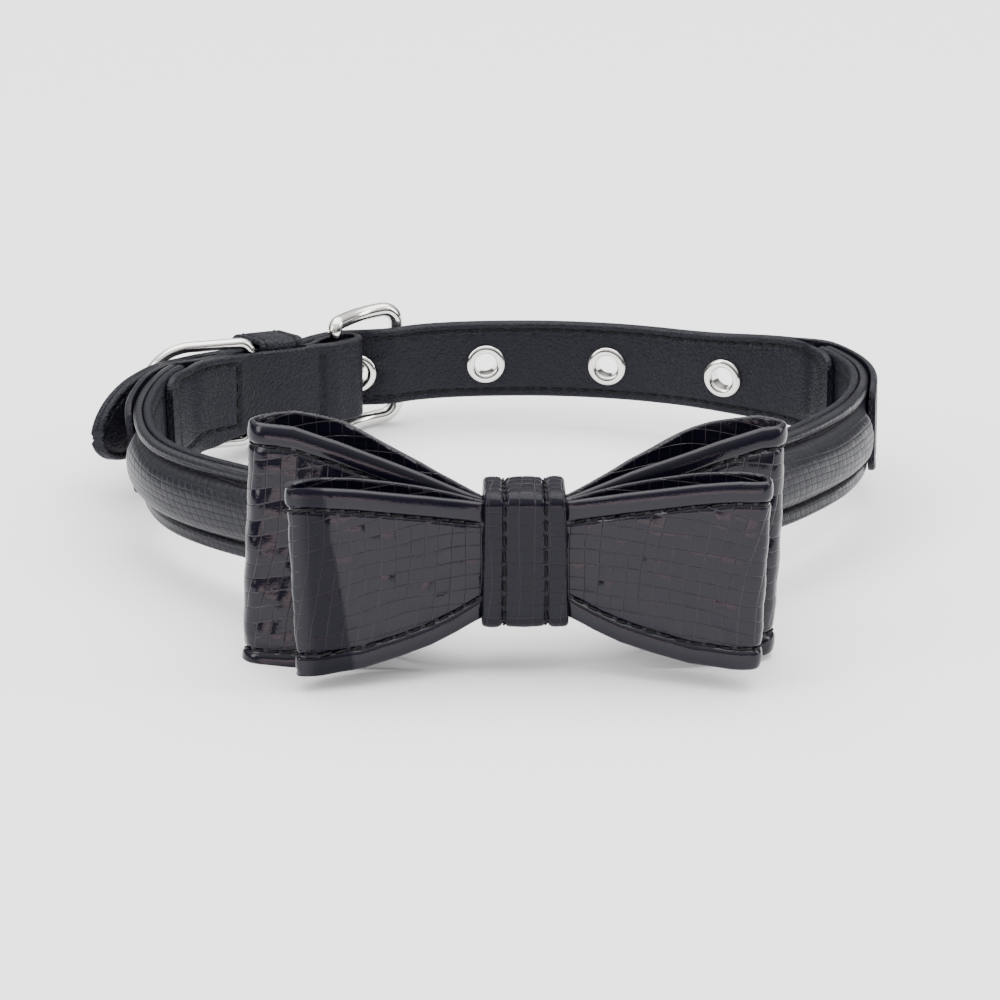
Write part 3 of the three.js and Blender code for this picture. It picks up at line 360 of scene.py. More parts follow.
def made(
    name, points, faces, finish, uv=None, seam=None, sharp=40, nodes=(), slot="smooth_leather",
    body="collar",
):
    """Mesh piece from level points and faces, turned outwards, in resting metres at the origin."""
    flat = settled(points.reshape(-1, 3))
    faces = faces.reshape(-1, 4)
    a, b, c, d = (flat[faces[:, k]] for k in range(4))
    volume = (a * np.cross(b, c)).sum() + (a * np.cross(c, d)).sum()
    if volume < 0:
        faces = faces[:, ::-1]
    mesh = bpy.data.meshes.new(name)
    mesh.vertices.add(len(flat))
    mesh.vertices.foreach_set("co", flat.ravel())
    mesh.loops.add(faces.size)
    mesh.loops.foreach_set("vertex_index", faces.ravel().astype(np.int32))
    mesh.polygons.add(len(faces))
    mesh.polygons.foreach_set("loop_start", np.arange(0, faces.size, 4, dtype=np.int32))
    for layer_name, values in (("surface", uv), ("seam", seam)):
        if values is not None:
            layer = mesh.uv_layers.new(name=layer_name)
            layer.data.foreach_set("uv", values.reshape(-1, 2)[faces.ravel()].ravel())
    mesh.materials.append(finish)
    mesh.update()
    mesh.validate()
    mesh.polygons.foreach_set("use_smooth", np.ones(len(mesh.polygons), bool))
    mesh.set_sharp_from_angle(angle=math.radians(sharp))
    piece = bpy.data.objects.new(name, mesh)
    bpy.context.scene.collection.objects.link(piece)
    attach(piece, body)
    if nodes:
        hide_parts(*nodes)


def tube(points, radius, sides=20, closed=True):
    """Round wire: each section is a circle square to the run, kept in the plane that the run lies in.
    An open run's ends are drawn in to a point."""
    count = len(points)
    if closed:
        ahead = np.roll(points, -1, 0) - np.roll(points, 1, 0)
    else:
        ahead = np.gradient(points, axis=0)
    ahead /= np.linalg.norm(ahead, axis=1, keepdims=True)
    middle = points.mean(0)
    plane = np.cross(points - middle, np.roll(points, -1, 0) - middle).sum(0)
    plane /= np.linalg.norm(plane)
    side = plane - ahead * (ahead @ plane)[:, None]
    side /= np.linalg.norm(side, axis=1, keepdims=True)
    across = np.cross(ahead, side)
    angle = np.arange(sides) / sides * 2 * math.pi
    radius = np.broadcast_to(radius, (count,))[:, None, None]
    ring = across[:, None] * np.cos(angle)[:, None] + side[:, None] * np.sin(angle)[:, None]
    return points[:, None] + ring * radius, quads(count, sides, closed)


def turned_round(profile, centre, axis, sides=64):
    """Surface of a closed profile of (radius, height) turned round an axis through a centre."""
    axis = axis / np.linalg.norm(axis)
    first = np.cross(axis, [0.3, 0.2, 1.0])
    first /= np.linalg.norm(first)
    second = np.cross(axis, first)
    angle = np.arange(sides) / sides * 2 * math.pi
    spoke = np.cos(angle)[:, None] * first + np.sin(angle)[:, None] * second
    profile = np.asarray(profile)
    points = centre + spoke[:, None] * profile[None, :, :1] + axis * profile[None, :, 1:]
    return points, quads(sides, len(profile), True)


def scale_counts(u, v, size, slant, lift):
    """Counts of scales along and across a strip: columns lean by slant, rows climb by lift, and both
    sway slowly as the embossing plate's rows do."""
    a = (u + slant * v + 0.55 * np.sin(0.16 * v + 0.05 * u) + 0.25 * np.sin(0.31 * u - 0.2 * v)) / size[0]
    b = (v + lift + 0.5 * np.sin(0.085 * u + 0.06 * v) + 0.2 * np.sin(0.24 * u + 0.33 * v)) / size[1]
    return a, b


def pillows(a, b):
    """Crown of each scale: 1 in the middle and 0 on the lines between scales."""
    return (np.abs(np.sin(math.pi * a)) * np.abs(np.sin(math.pi * b))) ** 0.45


def thread(name, runs):
    """Stitches: each is a short round-ended bead, squashed towards the leather, laid along its run.
    A run gives the middle, direction and outward normal of each stitch, in level millimetres."""
    middle, ahead, out = (np.concatenate([run[k] for run in runs]) for k in range(3))
    ahead /= np.linalg.norm(ahead, axis=1, keepdims=True)
    out = out - ahead * (ahead * out).sum(1, keepdims=True)
    out /= np.linalg.norm(out, axis=1, keepdims=True)
    side = np.cross(out, ahead)
    ahead = ahead + 0.10 * side
    rings, sides = 7, 8
    theta = np.linspace(0.12, math.pi - 0.12, rings)
    phi = np.arange(sides) / sides * 2 * math.pi
    long = np.sign(np.cos(theta)) * np.abs(np.cos(theta)) ** 0.7 * STITCH_LONG / 2
    thick = np.sin(theta) ** 0.7 * STITCH_WIDE / 2
    points = (
        middle[:, None, None]
        + ahead[:, None, None] * long[None, :, None, None]
        + side[:, None, None] * (thick[:, None] * np.cos(phi))[None, ..., None]
        + out[:, None, None] * (thick[:, None] * np.sin(phi) * 0.85)[None, ..., None]
    )
    starts = np.arange(len(middle)) * rings * sides
    faces = capped((rings, sides))[None] + starts[:, None, None]
    made(name, points, faces, black_thread, sharp=80)


def stitch_run(at, offset, height):
    """Stitches at an even pitch along a line on the loop, given by its places, offsets and heights."""
    length = np.linalg.norm(np.diff(on_loop(at, offset, height), axis=0), axis=1)
    total = np.concatenate([[0], np.cumsum(length)])
    wanted = (np.arange(int(total[-1] / STITCH_PITCH)) + 0.5) * STITCH_PITCH
    s, o, h = (np.interp(wanted, total, np.broadcast_to(v, at.shape)) for v in (at, offset, height))
    ahead = on_loop(s + 0.05, o, h) - on_loop(s - 0.05, o, h)
    out = on_loop(s, o + 0.05, h) - on_loop(s, o - 0.05, h)
    return on_loop(s, o, h), ahead, out


# Materials


def shader_group(name, inputs, outputs):
    """Empty node group with named float, vector or colour sockets."""
    group = bpy.data.node_groups.new(name, "ShaderNodeTree")
    add = group.interface.new_socket
    for socket, kind, value in inputs:
        added = add(name=socket, in_out="INPUT", socket_type="NodeSocket" + kind)
        if value is not None:
            added.default_value = value
    for socket, kind in outputs:
        add(name=socket, in_out="OUTPUT", socket_type="NodeSocket" + kind)
    return group, group.nodes.new("NodeGroupInput"), group.nodes.new("NodeGroupOutput")


def plug(tree, placed, sockets):
    """Gives each input of a node, by name or number, its link or its value."""
    for socket, content in sockets.items():
        if isinstance(content, bpy.types.NodeSocket):
            tree.links.new(content, placed.inputs[socket])
        else:
            placed.inputs[socket].default_value = content


def node(tree, kind, sockets=None, **settings):
    """Node with its settings, and with its inputs as plug takes them."""
    placed = tree.nodes.new("ShaderNode" + kind)
    for key, value in settings.items():
        setattr(placed, key, value)
    plug(tree, placed, sockets or {})
    return placed


def smooth_range(tree, value, low, high, start=0.0, end=1.0):
    """Smooth step in a value, from start at low to end at high."""
    sockets = {0: value, 1: low, 2: high, 3: start, 4: end}
    return node(tree, "MapRange", sockets, interpolation_type="SMOOTHSTEP").outputs[0]


def noise(tree, place, scale, detail, dimensions="3D"):
    """Cloudy noise with a scale in cycles and its octaves of detail."""
    sockets = {"Vector": place, "Scale": scale, "Detail": detail}
    return node(tree, "TexNoise", sockets, noise_dimensions=dimensions).outputs["Fac"]


def bumped(tree, height, distance, strength=1.0):
    """Normal of a surface whose height is given as a share of a distance in metres."""
    sockets = {"Strength": strength, "Distance": distance, "Height": height}
    return node(tree, "Bump", sockets).outputs[0]


def object_place(tree):
    """Place on the object, in metres."""
    return node(tree, "TexCoord").outputs["Object"]


def arith(tree, operation, *values):
    """Result of one sum on links or numbers."""
    return node(tree, "Math", operation=operation, sockets=dict(enumerate(values))).outputs[0]


def embossing_group():
    """Lines between scales, a tilt of its own for each scale, and a fine vein over them. The input
    counts scales, so a line lies on each whole number."""
    tree, given, result = shader_group(
        "scale_embossing",
        [("Counts", "Vector", None), ("Line", "Float", 0.07), ("Tilt", "Float", 0.3)],
        [("Height", "Float"), ("Line", "Float"), ("Chance", "Float")],
    )
    apart = node(tree, "SeparateXYZ", {0: given.outputs["Counts"]})
    lines = []
    shares = []
    for k in (0, 1):
        share = arith(tree, "SUBTRACT", arith(tree, "FRACT", apart.outputs[k]), 0.5)
        from_line = arith(tree, "SUBTRACT", 0.5, arith(tree, "ABSOLUTE", share))
        lines.append(smooth_range(tree, from_line, 0.0, given.outputs["Line"], 1.0, 0.0))
        shares.append(share)
    line = arith(tree, "MAXIMUM", *lines)
    whole = node(tree, "VectorMath", {0: given.outputs["Counts"]}, operation="FLOOR")
    chance = node(tree, "TexWhiteNoise", {"Vector": whole.outputs[0]}, noise_dimensions="2D")
    tints = node(tree, "SeparateColor", {0: chance.outputs["Color"]})
    leans = []
    for share, tint in zip(shares, tints.outputs):
        leans.append(arith(tree, "MULTIPLY", share, arith(tree, "SUBTRACT", tint, 0.5)))
    tilted = arith(tree, "MULTIPLY", arith(tree, "ADD", *leans), given.outputs["Tilt"])
    vein = noise(tree, given.outputs["Counts"], 3.1, 2.0, "2D")
    sunk = arith(tree, "SUBTRACT", tilted, arith(tree, "MULTIPLY", line, 0.45))
    height = arith(tree, "MULTIPLY_ADD", vein, 0.10, sunk)
    plug(tree, result, {"Height": height, "Line": line, "Chance": chance.outputs["Value"]})
    return tree


def grain_group():
    """Fine leather grain: rounded pebbles between creases, with slow waves under them."""
    tree, given, result = shader_group(
        "leather_grain",
        [("Place", "Vector", None), ("Pebble", "Float", 900.0)],
        [("Height", "Float"), ("Tone", "Float")],
    )
    place = given.outputs["Place"]
    sockets = {"Vector": place, "Scale": given.outputs["Pebble"]}
    cells = node(tree, "TexVoronoi", sockets, feature="DISTANCE_TO_EDGE")
    crease = smooth_range(tree, cells.outputs["Distance"], 0.0, 0.22)
    waves = arith(tree, "MULTIPLY", noise(tree, place, 160.0, 3.0), 0.9)
    height = arith(tree, "MULTIPLY_ADD", crease, 0.5, waves)
    plug(tree, result, {"Height": height, "Tone": noise(tree, place, 38.0, 2.0)})
    return tree


def wear_group():
    """Share of wear on edges that stick out, broken up by noise."""
    tree, given, result = shader_group("edge_wear", [("Place", "Vector", None)], [("Wear", "Float")])
    geometry = node(tree, "NewGeometry")
    edge = node(tree, "MapRange", {0: geometry.outputs["Pointiness"], 1: 0.52, 2: 0.62})
    patch = noise(tree, given.outputs["Place"], 90.0, 3.0)
    plug(tree, result, {"Wear": arith(tree, "MULTIPLY", edge.outputs[0], patch)})
    return tree


EMBOSSING, GRAIN, WEAR = embossing_group(), grain_group(), wear_group()


def material(name):
    """Node material with its Principled BSDF, ready for links."""
    finish = bpy.data.materials.new(name)
    finish.use_nodes = True
    tree = finish.node_tree
    return finish, tree, tree.nodes["Principled BSDF"]


def use_group(tree, group, **sockets):
    """Group placed in a material with its own inputs."""
    return node(tree, "Group", sockets, node_tree=group)


def blend(tree, share, a, b):
    """Colour between a and b by share."""
    mix = node(tree, "Mix", data_type="RGBA")
    plug(tree, mix, {"Factor": share, "A": (*a, 1), "B": (*b, 1)})
    return mix.outputs["Result"]


def embossed_leather(name, look):
    """Leather pressed with scales, under a clear coat: lines between scales are rougher and coloured as
    painted light, a pale painted highlight in the patent and painted shade in the panel, and the scales
    stop at the sewn hems. The seam map gives the distance inwards from an edge, and where the coat is
    thinned as painted shade."""
    finish, tree, shader = material(name)
    counts = node(tree, "UVMap", uv_map="surface").outputs[0]
    seam = node(tree, "SeparateXYZ", {0: node(tree, "UVMap", uv_map="seam").outputs[0]})
    inwards, shade_share = seam.outputs[:2]
    scales = use_group(tree, EMBOSSING, Counts=counts, Line=look["line"], Tilt=look["tilt"])
    grain = use_group(tree, GRAIN, Place=object_place(tree), Pebble=1500.0)
    field = smooth_range(tree, inwards, HEM, HEM + 0.4)
    line = arith(tree, "MULTIPLY", scales.outputs["Line"], field)
    varied = arith(tree, "MULTIPLY_ADD", scales.outputs["Chance"], 0.06, look["rough"] - 0.03)
    pressed = arith(tree, "MULTIPLY", scales.outputs["Height"], field)
    both = arith(tree, "MULTIPLY_ADD", grain.outputs["Height"], look["grain"], pressed)
    normal = bumped(tree, both, look["depth"])
    # Painted shade: the coat is thinned where the front loop's end turns away from the light.
    end_shade = arith(tree, "MULTIPLY", shade_share, look["coat"] * END_SHADE)
    plug(tree, shader, {
        # Painted light in the lines between scales: a painted highlight in the patent looks, painted shade
        # in the panel look.
        "Base Color": blend(tree, line, look["dark"], look["line_painted_light"]),
        "Roughness": arith(tree, "MULTIPLY_ADD", line, 0.2, varied),
        "Specular IOR Level": look["shine"],
        "Coat Weight": arith(tree, "SUBTRACT", look["coat"], end_shade),
        "Coat Roughness": look["coat_rough"],
        "Coat IOR": 1.42,
        "Normal": normal,
        "Coat Normal": normal,
    })
    return finish


def smooth_leather_finish(name, dark, worn, rough):
    """Fine-grained leather, a little paler where its edges are rubbed."""
    finish, tree, shader = material(name)
    place = object_place(tree)
    grain = use_group(tree, GRAIN, Place=place, Pebble=1050.0)
    wear = use_group(tree, WEAR, Place=place)
    plug(tree, shader, {
        "Base Color": blend(tree, wear.outputs["Wear"], dark, worn),
        "Roughness": arith(tree, "MULTIPLY_ADD", grain.outputs["Tone"], 0.16, rough - 0.08),
        "Specular IOR Level": 0.22,
        "Normal": bumped(tree, grain.outputs["Height"], 0.00017),
    })
    return finish


def nickel_finish():
    """Polished nickel plate: a warm grey mirror with faint scuffs."""
    finish, tree, shader = material("polished_nickel")
    scuff = noise(tree, object_place(tree), 420.0, 4.0)
    plug(tree, shader, {
        "Base Color": blend(tree, scuff, (0.74, 0.72, 0.68), (0.82, 0.80, 0.77)),
        "Roughness": arith(tree, "MULTIPLY_ADD", scuff, 0.10, 0.09),
        "Metallic": 1.0,
    })
    return finish


def thread_finish():
    """Waxed black thread: twisted strands as fine slanted ridges."""
    finish, tree, shader = material("black_thread")
    slanted = node(tree, "Mapping", {0: object_place(tree), 2: (0.4, 0.6, 0.7)}).outputs[0]
    strands = node(tree, "TexWave", {0: slanted, "Scale": 900.0, "Distortion": 1.5}).outputs["Fac"]
    plug(tree, shader, {
        "Base Color": blend(tree, strands, (0.002, 0.002, 0.0025), (0.007, 0.007, 0.008)),
        "Roughness": 0.6,
        "Specular IOR Level": 0.2,
        "Normal": bumped(tree, strands, 0.00006, 0.5),
    })
    return finish


# The patent's line colour is a pale pink painted highlight on the lines between scales.
PATENT_LOOK = {
    "dark": (0.0035, 0.003, 0.008), "line_painted_light": (0.022, 0.016, 0.021), "rough": 0.22, "shine": 0.1,
    "coat": 0.52, "coat_rough": 0.04, "line": 0.05, "tilt": 3.0, "depth": 0.00014, "grain": 0.08,
}
KNOT_LOOK = {**PATENT_LOOK, "coat": 0.24, "tilt": 1.5}
# The panel's line colour is painted shade, darker than the scales, in the lines between them.
PANEL_LOOK = {
    "dark": (0.006, 0.006, 0.011), "line_painted_light": (0.0015, 0.0015, 0.003), "rough": 0.34, "shine": 0.22,
    "coat": 0.16, "coat_rough": 0.2, "line": 0.12, "tilt": 0.8, "depth": 0.00012, "grain": 0.25,
}
patent = embossed_leather("patent_scales", PATENT_LOOK)
knot_patent = embossed_leather("knot_scales", KNOT_LOOK)
panel_leather = embossed_leather("panel_scales", PANEL_LOOK)
smooth_leather = smooth_leather_finish(
    "smooth_black_leather", dark=(0.0036, 0.0038, 0.0085), worn=(0.018, 0.018, 0.026), rough=0.44
)
black_thread = thread_finish()
polished_nickel = nickel_finish()


# Pieces of the collar


def lining():
    """Smooth band: round edges, and its faces pressed in a little along the two seams."""
    at = places(-PANEL_LEFT_RUN, PANEL_RIGHT, 1.2)
    shape = section(34, 5)
    full = np.full(len(at), 1.0)
    offset, height = strip_offsets(shape, 0 * full, LINING_THICK * full, PANEL_WIDTH / 2 * full, (0.75, 0.9))
    for seam in (PAD_HIGH + 0.2, -PAD_LOW - 0.2):
        offset += np.where(shape["side"] < 0, 0.22, 0) * np.exp(-(((height - seam) / 0.5) ** 2))
    points = on_loop(at[:, None], offset, height)
    made("panel_lining_leather", points, capped(offset.shape), smooth_leather, nodes=["panel_lining"])


def cover_profile(pad, height):
    """Outer face of the cover over its height: flat flanges, a narrow groove, and a round pad, whose
    crown falls as a power of the distance from its middle."""
    middle, reach = (PAD_HIGH - PAD_LOW) / 2, (PAD_HIGH + PAD_LOW) / 2
    share = np.clip(np.abs(height - middle) / reach, 0, 1)
    crown = pad * (1 - share**2.6) ** 0.75
    grooves = sum(np.exp(-(((height - seam) / 0.42) ** 2)) for seam in PAD_SEAMS)
    puff = 0.22 * ramp(np.abs(height - middle), reach + 0.5, reach + 1.6)
    return LINING_THICK + GAP / 2 + FLANGE_THICK + crown + puff - 0.6 * grooves


def cover():
    """Embossed band over the pad, its edges turned under."""
    at = places(-PANEL_LEFT_RUN, PANEL_RIGHT, 0.55)
    shape = section(54, 5)
    full = np.full(len(at), 1.0)
    foot = LINING_THICK + GAP / 4
    half = (PANEL_WIDTH / 2 - 0.15) * full
    offset, height = strip_offsets(shape, foot * full, (foot + FLANGE_THICK) * full, half, (0.9, 0.4))
    a, b = scale_counts(at[:, None], height, PANEL_SCALE, 0.35, 0)
    outer = (shape["side"] > 0) * shape["sine"]
    raised = cover_profile(pad_height(at)[:, None], height) - (foot + FLANGE_THICK)
    offset += outer * (raised + PANEL_RELIEF * (pillows(a, b) - 0.6))
    points = on_loop(at[:, None], offset, height)
    made(
        "panel_cover_leather", points, capped(offset.shape), panel_leather, uv=np.stack([a, b], -1),
        seam=no_seam(offset), nodes=["panel_cover"], slot="patent_leather",
    )


def sewn_groove(inside_edge, inside_end):
    """Depth of a sewn groove along a rounded outline, where the distance to a rounded rectangle is nil,
    from the distances to the lines of its edge and its end."""
    p = np.maximum(0, SEAM_CORNER - inside_edge)
    q = np.maximum(0, SEAM_CORNER - inside_end)
    return SEAM_SUNK * np.exp(-(((SEAM_CORNER - np.hypot(p, q)) / SEAM_HALF) ** 2))


def around_holes(at, height, holes, shape):
    """Moves the points of a strip, in place, round each hole from a square to a circle: the ring index
    sets the distance from the middle, and the change fades out within the next ring's width."""
    for (i0, i1, j0, j1), (centre, below, radius) in holes:
        i = (np.arange(at.shape[0]) - (i0 + i1) / 2)[:, None] / ((i1 - i0) / 2)
        j = (np.arange(shape["rows"]) - (j0 + j1) / 2)[None] / ((j1 - j0) / 2)
        ring = np.maximum(np.abs(i), np.abs(j))
        length = np.sqrt(i**2 + j**2) + 1e-9
        share = np.clip((1.7 - ring) / 0.7, 0, 1)
        columns = shape["corner"] + np.arange(shape["rows"])
        for side in (columns, at.shape[1] - 1 - columns):
            at[:, side] += share * (centre + radius * ring * i / length - at[:, side])
            height[:, side] += share * (below + radius * ring * j / length - height[:, side])


def strap_layer(name, free, low, high, edge, nodes, seen_side):
    """One of the strap's two sewn layers, from its free end at the fork to the tip of the tongue."""
    radius = EYELET_HOLE / 2 + EYELET_BARREL + 0.1
    half_hole = radius * 0.86
    runs = [places(free, EYELETS[0] - half_hole, 0.9)]
    for k, centre in enumerate(EYELETS):
        runs.append(np.linspace(centre - half_hole, centre + half_hole, 11))
        last = k == len(EYELETS) - 1
        following = TONGUE_END - TIP_LENGTH if last else EYELETS[k + 1] - half_hole
        runs.append(places(centre + half_hole, following, 0.8))
    tip = TONGUE_END - TIP_LENGTH * (1 - np.sin(np.linspace(0, math.pi / 2, 16)))
    stations = joined(*runs, tip)
    below = -EYELET_BELOW / (STRAP_WIDTH / 2)
    reach = half_hole / (STRAP_WIDTH / 2 - edge[0])
    rows = joined(
        np.linspace(-1, below - reach, 13),
        np.linspace(below - reach, below + reach, 11),
        np.linspace(below + reach, 1, 15),
    )
    shape = section(rows, 4)
    half = strap_half(stations)
    corner = round_end(stations, free, TONGUE_END, FORK_CORNER)
    half = half - FORK_CORNER * CORNER_CUT * (1 - corner)
    low, high = low(stations), high(stations)
    offset, height = strip_offsets(shape, low, high, half, edge)
    past_end = (stations[:, None] - free) * np.sign(TONGUE_END - free)
    groove = sewn_groove(half[:, None] - np.abs(height) - STRAP_SEAM, past_end - STRAP_HEM)
    offset -= np.where(shape["side"] == seen_side, seen_side * groove, 0)
    height = height + strap_droop(stations)[:, None]
    at = np.broadcast_to(stations[:, None], height.shape).copy()
    holes = []
    for centre in EYELETS:
        i0 = int(np.argmin(np.abs(stations - (centre - half_hole))))
        holes.append(((i0, i0 + 10, 12, 22), (centre, -EYELET_BELOW, radius)))
    around_holes(at, height, holes, shape)
    points = on_loop(at, offset, height)
    faces = hole_faces(quads(*offset.shape, False), shape, [place for place, _ in holes])
    faces = np.concatenate([faces, caps(*offset.shape)])
    made(name, points, faces, smooth_leather, nodes=nodes, sharp=50)


def fork_grown(at):
    """How far the strap's outer face stands out where it thickens towards its fork."""
    return (OUTER_LAYER + LAYER - STRAP_THICK) * (1 - ramp(at, CROTCH, CROTCH + FORK_BLEND))


def strap_seam(at):
    """The face where the strap's two layers meet: half way through it."""
    return strap_inner(at) + STRAP_THICK / 2


def outer_low(at):
    """Inner face of the strap's outer layer, lifted over the panel where it forks."""
    grown = OUTER_LAYER - STRAP_THICK / 2
    return strap_seam(at) + 0.01 + grown * (1 - ramp(at, PANEL_RIGHT - 2, CROTCH + FORK_BLEND))


def outer_high(at):
    """Outer face of the strap's outer layer."""
    return strap_inner(at) + STRAP_THICK + fork_grown(at)


def inner_low(at):
    """Inner face of the strap's inner layer, which goes under the panel where it forks."""
    return strap_inner(at) - (LAYER + GAP / 2) * (1 - ramp(at, PANEL_RIGHT - 1, CROTCH + 4))


def inner_high(at):
    """Outer face of the strap's inner layer."""
    under = -GAP / 2
    forked = under + (strap_seam(at) - under) * ramp(at, PANEL_RIGHT - 1, CROTCH + FORK_BLEND)
    return np.where(at < HEEL_AT - 60, forked, strap_seam(at)) - 0.01


def tab_wall(at):
    """Thickness of one of the tab's layers, thinner at the fork."""
    half = TAB_THICK / 2
    return half - 0.02 + (LAYER - half) * ramp(at, PANEL_LEFT - FORK_BLEND, PANEL_LEFT)


def tab_under(at):
    """How far the tab's inner layer goes under the panel at the fork."""
    return (LAYER + GAP / 2) * ramp(at, PANEL_LEFT - FORK_BLEND, PANEL_LEFT + 1)


def tab_layers():
    """The tab as one folded band: down its inner layer, round the heel bar and back along the outer.
    Each station gives a place and an offset for the outside of the fold and for the inside."""
    inner = places(LEFT_INNER, FOLD_AT, TAB_PITCH)
    outer = places(FOLD_AT, LEFT_OUTER, TAB_PITCH)
    reach = KEEPER_WIDTH / 2
    keeper_in, keeper_out = (near(at, KEEPER_AT, reach, reach + 2) for at in (inner, outer))
    ring_in, ring_out = (near(at, RING_AT, 0.8, 3.4) for at in (inner, outer))
    skin_in = (FOLD_TOP - 2 * FOLD_RADIUS) * fold_at(inner) - tab_under(inner)
    room = np.minimum(3 - 2.0 * keeper_in, 3 - 2.35 * ring_in)
    face_in = skin_in + np.minimum(tab_wall(inner), room)
    skin_out = tab_outer(outer)
    room = np.maximum(2.5 * keeper_out, 3.1 * ring_out)
    face_out = np.maximum(skin_out - tab_wall(outer), room)
    turn = np.linspace(-math.pi / 2, math.pi / 2, 15)[1:-1]
    layers = []
    for radius, first, last in (
        (FOLD_RADIUS, skin_in, skin_out),
        (FOLD_RADIUS - TAB_THICK / 2, face_in, face_out),
    ):
        at = np.concatenate([inner, FOLD_AT - radius * np.cos(turn), outer])
        offset = np.concatenate([first, HEEL_LIFT + radius * np.sin(turn), last])
        layers.append(np.column_stack([at, offset]))
    free = np.concatenate([
        round_end(inner, LEFT_INNER, FOLD_AT, FORK_CORNER),
        np.ones(len(turn)),
        round_end(outer, LEFT_OUTER, FOLD_AT, FORK_CORNER),
    ])
    half = np.concatenate([tab_half(inner), np.full(len(turn), TAB_WIDTH / 2), tab_half(outer)])
    return *layers, half - FORK_CORNER * CORNER_CUT * (1 - free), len(inner), len(turn)


def tab_seams(at, height, half, free):
    """Depth of the tab's sewn grooves: one along its free end's rounded outline, and one straight
    across beside the ring and beside the fold."""
    inside = half - TAB_SEAM - np.abs(height)
    depth = sewn_groove(inside, free - TAB_HEM - at) * ramp(at, TAB_SEAM_NEAR - 1, TAB_SEAM_NEAR)
    for seam_at in (TAB_SEAM_FOLD, TAB_SEAM_NEAR):
        straight = SEAM_SUNK * np.exp(-(((at - seam_at) / SEAM_HALF) ** 2))
        depth = np.maximum(depth, straight * ramp(inside, -0.5, 0))
    return depth


def tab():
    """Folded tab with its prong slot cut through the fold."""
    skin, face, half, first, turns = tab_layers()
    slot = SLOT_HALF / (TAB_WIDTH / 2 - TAB_ROUNDED[0])
    rows = joined(np.linspace(-1, -slot, 27), np.linspace(-slot, slot, 7), np.linspace(slot, 1, 27))
    shape = section(rows, 4)
    outer_side = shape["side"] > 0
    radius = np.where(outer_side, *TAB_ROUNDED)
    height = shape["across"] * (half[:, None] - radius) + shape["cosine"] * radius
    on_inner = (np.arange(len(half)) < first)[:, None]
    sag = TAB_SAG * ramp(skin[:, :1], RING_AT + 1.5, PANEL_LEFT - FORK_BLEND)
    height -= np.where(on_inner, sag, 0) * np.clip(-height / TAB_WIDTH * 2, 0, 1)
    toward = face - skin
    toward /= np.linalg.norm(toward, axis=1, keepdims=True)
    rounding = radius * (1 - shape["sine"])
    from_skin, from_face = skin[..., None], face[..., None]
    inwards = toward[..., None] * rounding
    spots = np.where(outer_side, from_skin + inwards, from_face - inwards)
    at, offset = spots[:, 0], spots[:, 1]
    past = first + turns + int(round((HEEL_AT + SLOT_PAST - FOLD_AT) / TAB_PITCH))
    holes = [(first + turns // 2, past, 26, 32)]
    depth = tab_seams(at, height, half[:, None], np.where(on_inner, LEFT_INNER, LEFT_OUTER))
    offset += np.where(outer_side, np.where(on_inner, depth, -depth), 0)
    points = on_loop(at, offset, height)
    faces = hole_faces(quads(*offset.shape, False), shape, holes)
    faces = np.concatenate([faces, caps(*offset.shape)])
    made("buckle_tab_leather", points, faces, smooth_leather, nodes=["buckle_tab"], sharp=50)


def rounded_box_path(a0, b0, a1, b1, radius, pitch):
    """Rectangle with round corners as a closed run: its points and their outward normals."""
    a0, b0, a1, b1 = a0 + radius, b0 + radius, a1 - radius, b1 - radius
    corners = [(a1, b1), (a0, b1), (a0, b0), (a1, b0)]
    points, normals = [], []
    for quarter in range(4):
        angle = (quarter + np.linspace(0, 1, 7)) * math.pi / 2
        out = np.column_stack([np.cos(angle), np.sin(angle)])
        arc = np.array(corners[quarter]) + radius * out
        following = np.array(corners[(quarter + 1) % 4]) + radius * out[-1]
        side = places(0, 1, pitch / max(pitch, np.linalg.norm(following - arc[-1])))[1:-1, None]
        points += [arc, arc[-1] + (following - arc[-1]) * side]
        normals += [out, np.repeat(out[-1:], len(side), 0)]
    return np.concatenate(points), np.concatenate(normals)


def keeper_place(width, across, out=0):
    """Level place from a place along the keeper's width and a point of its path: what lies farther out
    slants along the strap. out moves the place off the leather with no more slant."""
    slant = np.maximum(0, across[..., 0] - KEEPER_LIFT - KEEPER_WALL) * KEEPER_SLANT
    moved = across + out
    return on_loop(KEEPER_AT + width + slant, moved[..., 0], moved[..., 1])


def keeper():
    """Leather loop round the tongue: its path is a rounded rectangle and its width runs along the strap.
    Returns its stitches."""
    edges = KEEPER_AT + np.array([-0.5, 0.5]) * KEEPER_WIDTH
    outside = np.max(strap_inner(edges)) + STRAP_THICK + EYELET_RIM + KEEPER_OVER
    middle = KEEPER_WALL / 2
    half = TAB_WIDTH / 2 + KEEPER_SIDE + middle
    path, out = rounded_box_path(
        KEEPER_LIFT + middle, -half, outside + middle, half, KEEPER_CORNER - middle, 0.8
    )
    shape = section(18, 4)
    full = np.full(len(path), 1.0)
    offset, width = strip_offsets(shape, -middle * full, middle * full, KEEPER_WIDTH / 2 * full, (0.45, 0.3))
    for seam in KEEPER_SEAMS:
        offset -= np.where(shape["side"] > 0, 0.24, 0) * np.exp(-(((width - seam) / 0.4) ** 2))
    points = keeper_place(width, path[:, None, :] + out[:, None, :] * offset[..., None])
    made("keeper_leather", points, quads(*offset.shape, True), smooth_leather, nodes=["keeper"])
    runs = []
    for seam in KEEPER_SEAMS:
        spot = path + out * (middle - 0.2)
        line, outer = (keeper_place(seam, spot, step) for step in (0, out))
        runs.append(along_line(line, outer - line))
    return runs


def columns_at(table, total, wanted):
    """Rows of a table of places or directions, read at the wanted lengths along its run."""
    return np.column_stack([np.interp(wanted, total, table[:, k]) for k in range(3)])


